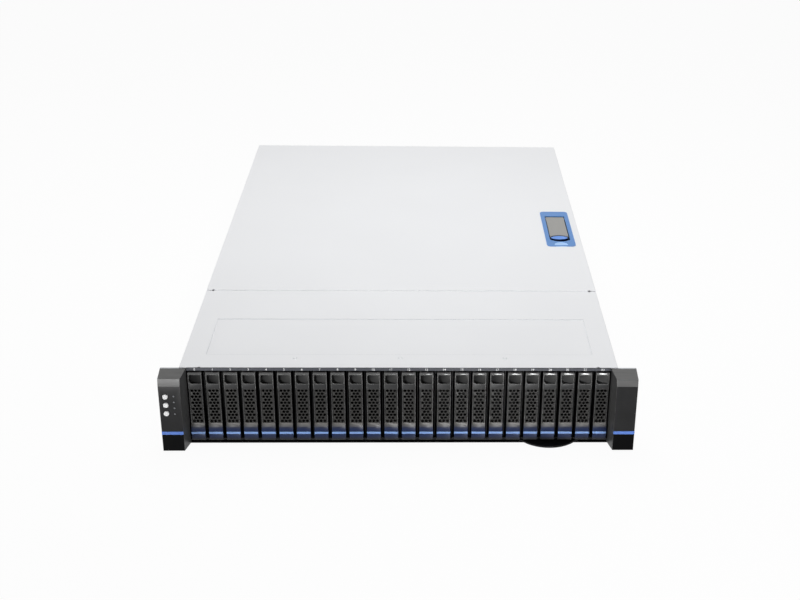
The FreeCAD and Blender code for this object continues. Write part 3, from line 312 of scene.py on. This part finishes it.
def cover_steel():
    """Pale painted sheet, with a painted highlight along the seam's edge."""
    finish = Finish("cover_steel_finish", Metallic=0.2)
    cloud, base = finish.clouded(9.0, tone(235, 236, 238), tone(240, 241, 243))
    # Painted highlight: a brighter band along the seam, where the lid's rounded edge catches light.
    base = finish.mix(finish.band("Y", SEAM_HIGHLIGHT), base, tone(250, 251, 252))
    base = finish.worn(base, tone(206, 207, 211), radius=1.2 * MM, share=0.8)
    finish.set("Base Color", base)
    finish.rough(cloud, 0.32, 0.38)
    grain = finish.noise(700.0, FINE_DETAIL, stretch=(1.0, 0.06, 1.0))
    finish.bump(grain, depth=0.006 * MM, strength=0.3)
    return finish.material


def galvanised_steel():
    """Spangled zinc, painted black along the front edge of the pan."""
    finish = Finish("galvanised_steel_finish", Metallic=0.85)
    spangle = finish.cells(200.0)
    base = finish.mix(spangle, tone(166, 169, 172), tone(182, 185, 188))
    nose = finish.both(finish.band("Y", PAN_NOSE), finish.band("X", (-PAN_HALF, PAN_HALF)))
    finish.set("Base Color", finish.mix(nose, base, tone(14, 14, 16)))
    finish.rough(spangle, 0.34, 0.46)
    finish.bump(finish.noise(METAL_GRAIN), depth=0.01 * MM, strength=0.3)
    return finish.material


def cage_black():
    """Black powder coat, with the printed grey ground of the bay-number strip."""
    finish = Finish("cage_black_finish", Specular_IOR_Level=0.2)
    cloud, base = finish.clouded(60.0, tone(12, 12, 14), tone(18, 18, 20))
    strip = finish.ramp("Z", STRIP_FOOT, STRIP_FOOT + 0.1 * MM)
    strip = finish.both(strip, finish.facing("Y", -0.5))
    finish.set("Base Color", finish.mix(strip, base, tone(82, 84, 91)))
    finish.rough(cloud, 0.4, 0.55)
    finish.grained()
    return finish.material


def plastic(name, dark, light, roughness=(0.38, 0.5), edge=None, shine=0.4):
    """A plain moulded plastic, with another colour along its edges if one is given."""
    finish = Finish(name, Specular_IOR_Level=shine)
    cloud, base = finish.clouded(60.0, dark, light)
    finish.set("Base Color", finish.worn(base, edge) if edge else base)
    finish.rough(cloud, *roughness)
    finish.grained()
    return finish.material


def carrier_plastic():
    """Dark grey, with painted light on the upward slope under the grille and a navy band round
    the accent strip.

    Painted shade darkens it into the finger scoop and makes it near black on the sides that
    line the gaps, its rounded edges get a painted highlight, and fingers have polished the
    bevel along its top."""
    finish = Finish("carrier_plastic_finish")
    cloud, base = finish.clouded(70.0, tone(37, 37, 38), tone(45, 45, 46))
    # Painted light: the upward faces of the slope under the grille are paler, as if lit from above.
    painted_slope_light = finish.both(finish.band("Z", CARRIER_SLOPE), finish.facing("Z", 0.1))
    base = finish.mix(painted_slope_light, base, tone(112, 110, 108))
    # Painted highlight: the rounded edges are brightened, most over the grille, as if catching
    # light.
    upper = finish.ramp("Z", GRILLE_TOP - 2.0 * MM, GRILLE_TOP)
    rim_highlight = finish.mix(upper, tone(66, 65, 63), tone(156, 156, 154))
    base = finish.worn(base, rim_highlight, radius=0.8 * MM, share=0.9)
    front = finish.ramp("Y", CARRIER_FACE, CARRIER_FACE - 0.3 * MM)
    navy = finish.both(finish.band("Z", NAVY_BAND, soft=2.4 * MM), front)
    base = finish.mix(navy, base, tone(20, 36, 74))
    # Painted shade: the finger scoop is near black where it is deep and low, and lit grey towards
    # its front and top.
    inside = finish.band("X", (-CARRIER_WALL, CARRIER_WALL))
    behind = finish.ramp("Y", CARRIER_RIM - 0.5 * MM, CARRIER_RIM)
    scoop_shade = finish.both(finish.band("Z", SCOOP_LEVELS), finish.both(inside, behind))
    lit = finish.ramp("Y", *reversed(SCOOP_DEPTHS))
    high = finish.ramp("Z", *SCOOP_LEVELS, low=0.04)
    lit = finish.both(finish.both(lit, lit), high)
    base = finish.mix(scoop_shade, base, finish.mix(lit, tone(2, 2, 2), tone(80, 80, 79)))
    # Painted shade: the sides that line the gaps between carriers are near black.
    gap_shade = finish.both(behind, finish.outside(inside))
    finish.set("Base Color", finish.mix(gap_shade, base, tone(8, 8, 9)))
    polish = finish.both(finish.facing("Z"), finish.facing("Y", -0.5))
    finish.set("Specular IOR Level", finish.between(polish, 0.2, 1.0))
    matt = finish.fade(cloud, *NOISE_SPREAD, 0.36, 0.46)
    finish.set("Roughness", finish.between(polish, matt, 0.13))
    finish.grained(strength=0.3)
    return finish.material


def grille_plastic():
    """Dark grey on the front, with painted shade making it near black inside the holes."""
    finish = Finish("grille_finish", Specular_IOR_Level=0.2)
    cloud, base = finish.clouded(70.0, tone(41, 40, 39), tone(50, 49, 47))
    # Painted shade: the walls of the holes are near black.
    finish.set("Base Color", finish.mix(finish.level("Y"), base, tone(3, 3, 3)))
    finish.rough(cloud, 0.4, 0.5)
    finish.grained(strength=0.3)
    return finish.material


def ear_plastic():
    """Brushed grey over the shoulder, paler there partly as painted light on its upward faces,
    painted light on the sides that face the middle, satin black on the face and gloss
    black under the stripe.
    """
    finish = Finish("ear_plastic_finish")
    cloud, base = finish.clouded(60.0, tone(28, 28, 29), tone(36, 36, 37))
    # Painted light: the sides that face the middle of the body are paler.
    sides = finish.outside(finish.level("X"))
    inside = finish.both(finish.band("X", (-EAR_LIT_INSIDE, EAR_LIT_INSIDE)), sides)
    base = finish.mix(inside, base, tone(64, 64, 64))
    lines = finish.noise(1500.0, FINE_DETAIL, stretch=(0.02, 1.0, 1.0))
    # Brushed finish over the shoulder; its paler grey is partly painted light on these upward faces.
    top = finish.ramp("Z", EAR_SHOULDER, EAR_SHOULDER + 0.4 * MM)
    top = finish.both(top, finish.level("X"))
    base = finish.mix(top, base, finish.mix(lines, tone(82, 82, 82), tone(120, 120, 119)))
    foot = finish.ramp("Z", EAR_FOOT + 0.2 * MM, EAR_FOOT - 0.2 * MM)
    foot = finish.both(foot, finish.level("X"))
    base = finish.mix(foot, base, tone(3, 3, 4))
    finish.set("Base Color", finish.worn(base, tone(104, 104, 104), share=0.3))
    finish.set("Specular IOR Level", finish.between(foot, 0.16, 0.06))
    finish.rough(cloud, 0.28, 0.36)
    finish.bump(lines, depth=0.03 * MM, strength=0.3)
    return finish.material


def latch_blue():
    """Blue plastic, navy with painted shade down in the well and pale on the floor of the thumb
    recess.
    """
    finish = Finish("latch_blue_finish", Specular_IOR_Level=0.4)
    cloud, base = finish.clouded(60.0, tone(72, 126, 192), tone(84, 138, 202))
    low = finish.ramp("Z", THUMB_FLOOR + 0.05 * MM, THUMB_FLOOR - 0.05 * MM)
    thumb = finish.both(finish.disc(THUMB_CENTRE, THUMB_RADIUS), low)
    base = finish.mix(thumb, base, tone(164, 204, 250))
    finish.set("Base Color", finish.sunk(finish.worn(base, tone(120, 168, 228))))
    finish.rough(cloud, *SATIN)
    finish.grained()
    return finish.material


def tab_blue():
    """Bright blue plastic, navy with painted shade down in the well."""
    finish = Finish("tab_blue_finish", Specular_IOR_Level=0.4)
    cloud, base = finish.clouded(60.0, tone(88, 142, 228), tone(104, 156, 238))
    finish.set("Base Color", finish.sunk(base))
    finish.rough(cloud, *SATIN)
    finish.grained()
    return finish.material


def board_green():
    """Solder mask with lighter tracks under it."""
    finish = Finish("board_green_finish", Roughness=0.35)
    tracks = finish.add("TexBrick", Vector=finish.point, Scale=60.0, Mortar_Size=0.03)
    tracks = tracks.outputs["Fac"]
    base = finish.clouded(40.0, tone(16, 62, 40), tone(20, 72, 46), detail=3.0)[1]
    finish.set("Base Color", finish.mix(tracks, base, tone(34, 98, 62)))
    finish.bump(tracks, depth=0.03 * MM, strength=0.4)
    return finish.material


def psu_metal():
    """Brushed steel, black on the floors of the vents as painted shade and in the inlet as its own
    black.
    """
    finish = Finish("psu_metal_finish", Metallic=0.8)
    cloud, base = finish.clouded(14.0, tone(150, 153, 156), tone(172, 175, 178))
    # Painted shade in the vents, and the inlet's own black: the floors of the pockets are near
    # black.
    floor = finish.both(finish.band("Y", SUPPLY_POCKETS), finish.facing("Y"))
    finish.set("Base Color", finish.mix(floor, base, tone(12, 12, 13)))
    finish.rough(cloud, 0.32, 0.42)
    grain = finish.noise(METAL_GRAIN, FINE_DETAIL, stretch=(1.0, 0.05, 0.05))
    finish.bump(grain, depth=0.008 * MM, strength=0.3)
    return finish.material


def drive_metal():
    """Cast metal with a black front end, which is seen through the grille."""
    finish = Finish("drive_metal_finish", Metallic=0.7, Specular_IOR_Level=0.3)
    cloud, base = finish.clouded(40.0, tone(140, 143, 146), tone(164, 167, 170))
    face = finish.ramp("Y", DRIVE_FACE, DRIVE_FACE - 0.5 * MM)
    finish.set("Base Color", finish.mix(face, base, tone(4, 4, 5)))
    finish.rough(cloud, 0.4, 0.5)
    finish.bump(finish.noise(METAL_GRAIN), depth=0.01 * MM, strength=0.3)
    return finish.material


def light_pipe():
    """Milky plastic that lets a little light through."""
    finish = Finish("light_pipe_finish", Transmission_Weight=0.1)
    cloud, base = finish.clouded(400.0, tone(116, 118, 122), tone(136, 138, 142), detail=3.0)
    finish.set("Base Color", base)
    finish.rough(cloud, 0.2, 0.3)
    finish.grained(depth=0.01 * MM, strength=0.3)
    return finish.material


def fastener_steel():
    """Bright plated steel."""
    finish = Finish("fastener_steel_finish", Metallic=0.9)
    cloud, base = finish.clouded(300.0, tone(176, 178, 180), tone(206, 208, 210), detail=3.0)
    finish.set("Base Color", base)
    finish.rough(cloud, 0.28, 0.4)
    finish.grained(depth=0.01 * MM, strength=0.3)
    return finish.material


# The finish of each material slot in the frame
FINISHES = {
    "cover_steel": cover_steel(),
    "galvanised_steel": galvanised_steel(),
    "cage_black": cage_black(),
    "carrier_plastic": carrier_plastic(),
    "ear_plastic": ear_plastic(),
    "button_white": plastic("button_white_finish", tone(242, 242, 243), tone(248, 248, 248), SATIN),
    "fan_plastic": plastic("fan_plastic_finish", tone(24, 24, 26), tone(34, 34, 36)),
    "board_green": board_green(),
    "psu_metal": psu_metal(),
    "bail_plastic": plastic("bail_plastic_finish", tone(30, 31, 33), tone(40, 41, 43)),
    "accent_blue": plastic("accent_blue_finish", tone(84, 126, 214), tone(98, 138, 222), SATIN),
    "latch_blue": latch_blue(),
    "tab_blue": tab_blue(),
    "lever_grey": plastic("lever_grey_finish", tone(144, 143, 140), tone(156, 155, 152), (0.4, 0.5),
                          edge=tone(186, 185, 182)),
    "tag_plastic": plastic("tag_plastic_finish", tone(8, 8, 9), tone(13, 13, 14), SATIN,
                           edge=tone(36, 36, 38), shine=0.1),
    "light_pipe": light_pipe(),
    "fastener_steel": fastener_steel(),
}
PALE_ACCENT = plastic("pale_accent_finish", tone(130, 168, 230), tone(144, 180, 238), SATIN)

# The four solids of a carrier, biggest first: kind, slot, finish and edge width in millimetres
CARRIER_PARTS = (
    ("moulding", "carrier_plastic", FINISHES["carrier_plastic"], 0.45),
    ("drive", "psu_metal", drive_metal(), 0.6),
    ("grille", "cage_black", grille_plastic(), 0.12),
    ("accent", "accent_blue", PALE_ACCENT, 0.15),
)

# Other CAD nodes stay as they are, some with softened edges of these widths in millimetres
EDGE_WIDTHS = {
    "rear_lid": 1.0, "front_top_cover": 1.0, "ear_cover_left": 0.45, "ear_cover_right": 0.45,
    "latch_bezel": 0.5, "latch_lever": 0.4, "latch_release_tab": 0.3, "information_tag": 0.4,
    "base_pan": 0.25, "rear_panel": 0.25, "ear_brackets": 0.25, "drive_cage": 0.25,
    "psu_cage": 0.25, "psu_1": 0.4, "psu_2": 0.4, "psu_1_release": 0.4, "psu_2_release": 0.4,
}


def joined_corners():
    """A modifier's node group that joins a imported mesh's doubled corners and drops its normals."""
    group = bpy.data.node_groups.new("joined_corners", "GeometryNodeTree")
    for way in ("INPUT", "OUTPUT"):
        group.interface.new_socket("Geometry", in_out=way, socket_type="NodeSocketGeometry")
    last = group.nodes.new("NodeGroupInput").outputs[0]
    merge = group.nodes.new("GeometryNodeMergeByDistance")
    merge.inputs["Distance"].default_value = WELD
    bare = group.nodes.new("GeometryNodeRemoveAttribute")
    bare.inputs["Name"].default_value = "custom_normal"
    steps = [merge, bare]
    for domain in ("FACE", "EDGE"):
        smooth = group.nodes.new("GeometryNodeSetShadeSmooth")
        smooth.domain = domain
        steps.append(smooth)
    for node in steps:
        group.links.new(last, node.inputs["Geometry"])
        last = node.outputs["Geometry"]
    group.links.new(last, group.nodes.new("NodeGroupOutput").inputs[0])
    return group


JOINED = joined_corners()


def soften(obj, width, packed=True):
    """Rounds the sharp edges of a piece by a bevel of that width."""
    if packed:
        obj.modifiers.new("joined", "NODES").node_group = JOINED
    flat = obj.modifiers.new("flat", "DECIMATE")
    flat.decimate_type = "DISSOLVE"
    flat.angle_limit = FLAT_ANGLE
    bevel = obj.modifiers.new("soft", "BEVEL")
    bevel.limit_method = "ANGLE"
    bevel.angle_limit = EDGE_ANGLE
    bevel.width = width
    bevel.segments = EDGE_STEPS
    bevel.harden_normals = True


def paint(mesh, material):
    """Gives a mesh one material."""
    mesh.materials.clear()
    mesh.materials.append(material)


def new_object(name, data):
    """A new object of a mesh, curve, light or camera, in the scene."""
    obj = bpy.data.objects.new(name, data)
    bpy.context.scene.collection.objects.link(obj)
    return obj


def settled(obj):
    """A plain mesh of an object with its modifiers in it. The object goes."""
    graph = bpy.context.evaluated_depsgraph_get()
    mesh = bpy.data.meshes.new_from_object(obj.evaluated_get(graph))
    bpy.data.objects.remove(obj)
    return mesh


def to_mesh(work, name):
    """A mesh of an edit mesh, which is freed."""
    mesh = bpy.data.meshes.new(name)
    work.to_mesh(mesh)
    work.free()
    return mesh


def add_piece(name, mesh, body, stands_for=(), place=None):
    """A piece that rides on a body, and stands for the CAD nodes that are named."""
    obj = new_object(name, mesh)
    if place is not None:
        obj.location = place
    bpy.context.view_layer.update()
    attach(obj, body)
    if stands_for:
        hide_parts(*stands_for)


def box_of(mesh):
    """The low and the high corner of a mesh's box."""
    places = [[vert.co[axis] for vert in mesh.vertices] for axis in range(3)]
    return Vector([min(line) for line in places]), Vector([max(line) for line in places])


def face_groups(work):
    """The faces of an edit mesh as sets of indices, one set for each solid."""
    left = set(range(len(work.faces)))
    groups = []
    while left:
        start = min(left)
        left.discard(start)
        group = {start}
        waiting = [start]
        while waiting:
            for edge in work.faces[waiting.pop()].edges:
                if len(edge.link_faces) != 2:
                    continue
                for face in edge.link_faces:
                    if face.index in left:
                        left.discard(face.index)
                        group.add(face.index)
                        waiting.append(face.index)
        groups.append(group)
    return groups


def solids(node):
    """The solids of a CAD node, biggest first, each as a mesh of its own."""
    whole = bmesh.new()
    whole.from_mesh(node.data)
    bmesh.ops.remove_doubles(whole, verts=whole.verts[:], dist=WELD)
    whole.faces.index_update()
    whole.faces.ensure_lookup_table()
    meshes = []
    for group in face_groups(whole):
        part = whole.copy()
        part.faces.ensure_lookup_table()
        extra = [face for face in part.faces if face.index not in group]
        bmesh.ops.delete(part, geom=extra, context="FACES")
        meshes.append(to_mesh(part, node.name + "_solid"))
    whole.free()

    def spread(mesh):
        low, high = box_of(mesh)
        return -(high - low).length
    return sorted(meshes, key=spread)


def lathe(profile):
    """An edit mesh turned about Z from (radius, height) pairs that start and end on the axis."""
    work = bmesh.new()
    turns = [2 * math.pi * k / LATHE_STEPS for k in range(LATHE_STEPS)]
    rings = []
    for radius, height in profile:
        if radius == 0:
            rings.append([work.verts.new((0, 0, height))])
            continue
        rings.append([work.verts.new((radius * math.cos(turn), radius * math.sin(turn), height))
                      for turn in turns])
    for lower, upper in zip(rings, rings[1:]):
        for here in range(LATHE_STEPS):
            after = (here + 1) % LATHE_STEPS
            corners = [lower[here % len(lower)], lower[after % len(lower)],
                       upper[after % len(upper)], upper[here % len(upper)]]
            work.faces.new(list(dict.fromkeys(corners)))
    bmesh.ops.recalc_face_normals(work, faces=work.faces[:])
    for face in work.faces:
        face.smooth = True
    return work


def carved(base, cutter):
    """base without the space that cutter takes up. Both are meshes."""
    knife = new_object("knife", cutter)
    block = new_object("block", base)
    cut = block.modifiers.new("cut", "BOOLEAN")
    cut.operation = "DIFFERENCE"
    cut.solver = "EXACT"
    cut.object = knife
    mesh = settled(block)
    bpy.data.objects.remove(knife)
    return mesh


def gathered(name, copies):
    """One mesh of several (mesh, matrix) copies."""
    work = bmesh.new()
    for mesh, matrix in copies:
        first = len(work.verts)
        work.from_mesh(mesh)
        work.verts.ensure_lookup_table()
        bmesh.ops.transform(work, matrix=matrix, verts=work.verts[first:])
    return to_mesh(work, name)


def bay_centres():
    """The middle of each bay along X. The bays lie evenly about the middle of the body."""
    low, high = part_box("drive_carrier_00")
    first = (low.x + high.x) / 2
    return [first * (1 - 2 * k / (BAYS - 1)) for k in range(BAYS)]


def dress_carriers():
    """The pieces of every carrier, made once from the first carrier's solids."""
    places = bay_centres()
    kinds = []
    for mesh, (kind, slot, finish, width) in zip(solids(NODES["drive_carrier_00"]), CARRIER_PARTS):
        mesh.transform(Matrix.Translation((-places[0], 0, 0)))
        for face in mesh.polygons:
            face.use_smooth = True
        raw = new_object("raw", mesh)
        soften(raw, width * MM, packed=False)
        done = settled(raw)
        done.name = "carrier_" + kind
        paint(done, finish)
        kinds.append((kind, slot, done))
    for number, x in enumerate(places):
        body = "drive_carrier_%02d" % number
        for kind, slot, mesh in kinds:
            name = "carrier_%02d_%s" % (number, kind)
            stands_for = (body,) if kind == "moulding" else ()
            add_piece(name, mesh, body, stands_for, Vector((x, 0, 0)))


def bay_numbers():
    """Plain white figures from 0 up, one over each bay."""
    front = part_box("drive_cage")[0].y
    upright = Matrix.Rotation(QUARTER_TURN, 4, "X")
    copies = []
    for number, x in enumerate(bay_centres()):
        curve = bpy.data.curves.new("figure", "FONT")
        curve.body = str(number)
        curve.size = NUMBER_SIZE
        curve.offset = NUMBER_WEIGHT
        curve.align_x = "CENTER"
        curve.align_y = "CENTER"
        curve.extrude = NUMBER_RELIEF
        mesh = settled(new_object("figure", curve))
        place = Vector((x, front - NUMBER_RELIEF, NUMBER_MIDDLE))
        copies.append((mesh, Matrix.Translation(place) @ upright))
    mesh = gathered("bay_numbers", copies)
    paint(mesh, FINISHES["button_white"])
    add_piece("bay_numbers", mesh, "chassis")


def headed(name, dome, shank, head, foot, top):
    """A shank along Z from foot up to 0, with a domed head on it up to top."""
    profile = [(0, foot), (shank, foot), (shank, 0.0)]
    profile += [(wide * head, high * top) for wide, high in dome]
    return to_mesh(lathe(profile), name)


def rivet(head, foot, top):
    """A rivet along Z with a low round head of that radius."""
    return headed("rivet", RIVET_DOME, RIVET_SHANK * head, head, foot, top)


def recess_wedges(top, reach, depth):
    """Two crossed wedges that narrow downwards, to be cut out of a screw head."""
    wedges = []
    half = RECESS_WIDTH * reach
    for turn in (0, QUARTER_TURN):
        work = bmesh.new()
        bmesh.ops.create_cube(work, size=1.0)
        for vert in work.verts:
            spread = 1.0 if vert.co.z > 0 else RECESS_TAPER
            height = top + RECESS_RISE * depth if vert.co.z > 0 else top - depth
            vert.co = Vector((vert.co.x * 2 * reach * spread,
                              vert.co.y * 2 * half * spread, height))
        wedge = to_mesh(work, "wedge")
        wedge.transform(Matrix.Rotation(turn, 4, "Z"))
        wedges.append(wedge)
    return wedges


def screw(head, foot, top):
    """A screw along Z with a domed head of that radius and a cross recess."""
    mesh = headed("screw", SCREW_DOME, SCREW_SHANK * head, head, foot, top)
    for wedge in recess_wedges(top, RECESS_REACH * head, RECESS_DEPTH * top):
        mesh = carved(mesh, wedge)
    return mesh


def dress_fasteners():
    """Real heads for the screws and rivets, each in the place of its CAD solid."""
    kinds = {"rivet": [], "screw": []}
    for solid in solids(NODES["chassis_fasteners"]):
        low, high = box_of(solid)
        size = high - low
        middle = (low + high) / 2
        # A fastener is round, so it lies along the axis across which its sizes are equal
        along = min(range(3), key=lambda k: abs(size[(k + 1) % 3] - size[(k + 2) % 3]))
        outward = -1 if along == 0 and middle.x < 0 else 1
        levels = sorted({round(outward * vert.co[along], LEVEL_DIGITS) for vert in solid.vertices})
        foot, seat, top = levels[0], levels[1], levels[-1]
        head = size[(along + 1) % 3] / 2
        kind, make = ("rivet", rivet) if along == 2 else ("screw", screw)
        mesh = make(head, foot - seat, top - seat)
        axis = Vector([outward if k == along else 0 for k in range(3)])
        place = middle.copy()
        place[along] = outward * seat
        turn = axis.to_track_quat("Z", "Y").to_matrix().to_4x4()
        kinds[kind].append((mesh, Matrix.Translation(place) @ turn))
    for kind, slot, stands_for in (("rivet", "cover_steel", ()),
                                   ("screw", "fastener_steel", ("chassis_fasteners",))):
        mesh = gathered("chassis_%ss" % kind, kinds[kind])
        paint(mesh, FINISHES[slot])
        add_piece("chassis_%ss" % kind, mesh, "chassis", stands_for)


def dress_nodes():
    """Finishes and softened edges for the CAD nodes that stay."""
    for name, node in NODES.items():
        if name.startswith("drive_carrier"):
            continue
        paint(node.data, FINISHES[node.data.materials[0].name])
        if name in EDGE_WIDTHS:
            soften(node, EDGE_WIDTHS[name] * MM)


def seen(tree):
    """1 for camera rays and for rays that come from a mirror or through glass, else 0."""
    path = tree.nodes.new("ShaderNodeLightPath")
    total = path.outputs["Is Camera Ray"]
    for name in ("Is Glossy Ray", "Is Transmission Ray"):
        more = tree.nodes.new("ShaderNodeMath")
        more.operation = "MAXIMUM"
        tree.links.new(total, more.inputs[0])
        tree.links.new(path.outputs[name], more.inputs[1])
        total = more.outputs["Value"]
    return total


def coloured(tree, kind, colour):
    """A shader node of a colour."""
    node = tree.nodes.new(kind)
    node.inputs["Color"].default_value = colour
    return node


def show(tree, output, share, first, second):
    """Makes the surface of a material or world: first where share is 0, second where it is 1."""
    mix = tree.nodes.new("ShaderNodeMixShader")
    tree.links.new(share, mix.inputs[0])
    tree.links.new(first.outputs[0], mix.inputs[1])
    tree.links.new(second.outputs[0], mix.inputs[2])
    tree.links.new(mix.outputs[0], tree.nodes.new(output).inputs["Surface"])


def studio_world():
    """A white world that gives little light."""
    world = bpy.data.worlds.new("studio")
    bpy.context.scene.world = world
    tree = fresh_tree(world)
    lit = coloured(tree, "ShaderNodeBackground", WHITE)
    lit.inputs["Strength"].default_value = WORLD_LIGHT
    white = coloured(tree, "ShaderNodeBackground", WHITE)
    show(tree, "ShaderNodeOutputWorld", seen(tree), lit, white)


def studio_floor():
    """White paper that is nearly as bright as the world where it is seen."""
    work = bmesh.new()
    bmesh.ops.create_grid(work, x_segments=1, y_segments=1, size=FLOOR_HALF)
    floor = new_object("floor", to_mesh(work, "floor"))
    floor.location.z = -FLOOR_DROP
    material = bpy.data.materials.new("floor_paper")
    tree = fresh_tree(material)
    paper = coloured(tree, "ShaderNodeBsdfDiffuse", PAPER)
    glow = coloured(tree, "ShaderNodeEmission", WHITE)
    share = tree.nodes.new("ShaderNodeMath")
    share.operation = "MULTIPLY"
    share.inputs[1].default_value = PAPER_GLOW
    tree.links.new(seen(tree), share.inputs[0])
    show(tree, "ShaderNodeOutputMaterial", share.outputs[0], paper, glow)
    floor.data.materials.append(material)


def lamp(name, place, target, size, power, diffuse=True, glossy=True):
    """A rectangular lamp that the camera doesn't see."""
    light = bpy.data.lights.new(name, "AREA")
    light.shape = "RECTANGLE"
    light.size, light.size_y = size
    light.energy = power
    obj = new_object(name, light)
    obj.location = place
    obj.rotation_euler = (Vector(target) - Vector(place)).to_track_quat("-Z", "Y").to_euler()
    obj.visible_camera = False
    obj.visible_diffuse = diffuse
    obj.visible_glossy = glossy


def camera():
    """The camera of the photo."""
    data = bpy.data.cameras.new("photo_camera")
    data.lens = CAMERA_LENS
    data.sensor_width = CAMERA_SENSOR
    data.shift_x = CAMERA_SHIFT
    obj = new_object("photo_camera", data)
    yaw = Matrix.Rotation(CAMERA_YAW, 4, "Z")
    pitch = Matrix.Rotation(QUARTER_TURN - CAMERA_PITCH, 4, "X")
    roll = Matrix.Rotation(CAMERA_ROLL, 4, "Z")
    obj.matrix_world = Matrix.Translation(CAMERA_PLACE) @ (yaw @ pitch @ roll)
    bpy.context.scene.camera = obj


dress_carriers()
bay_numbers()
dress_fasteners()
dress_nodes()
studio_world()
studio_floor()
for settings in LAMPS:
    lamp(**settings)
camera()

bpy.context.scene.view_settings.view_transform = "Standard"
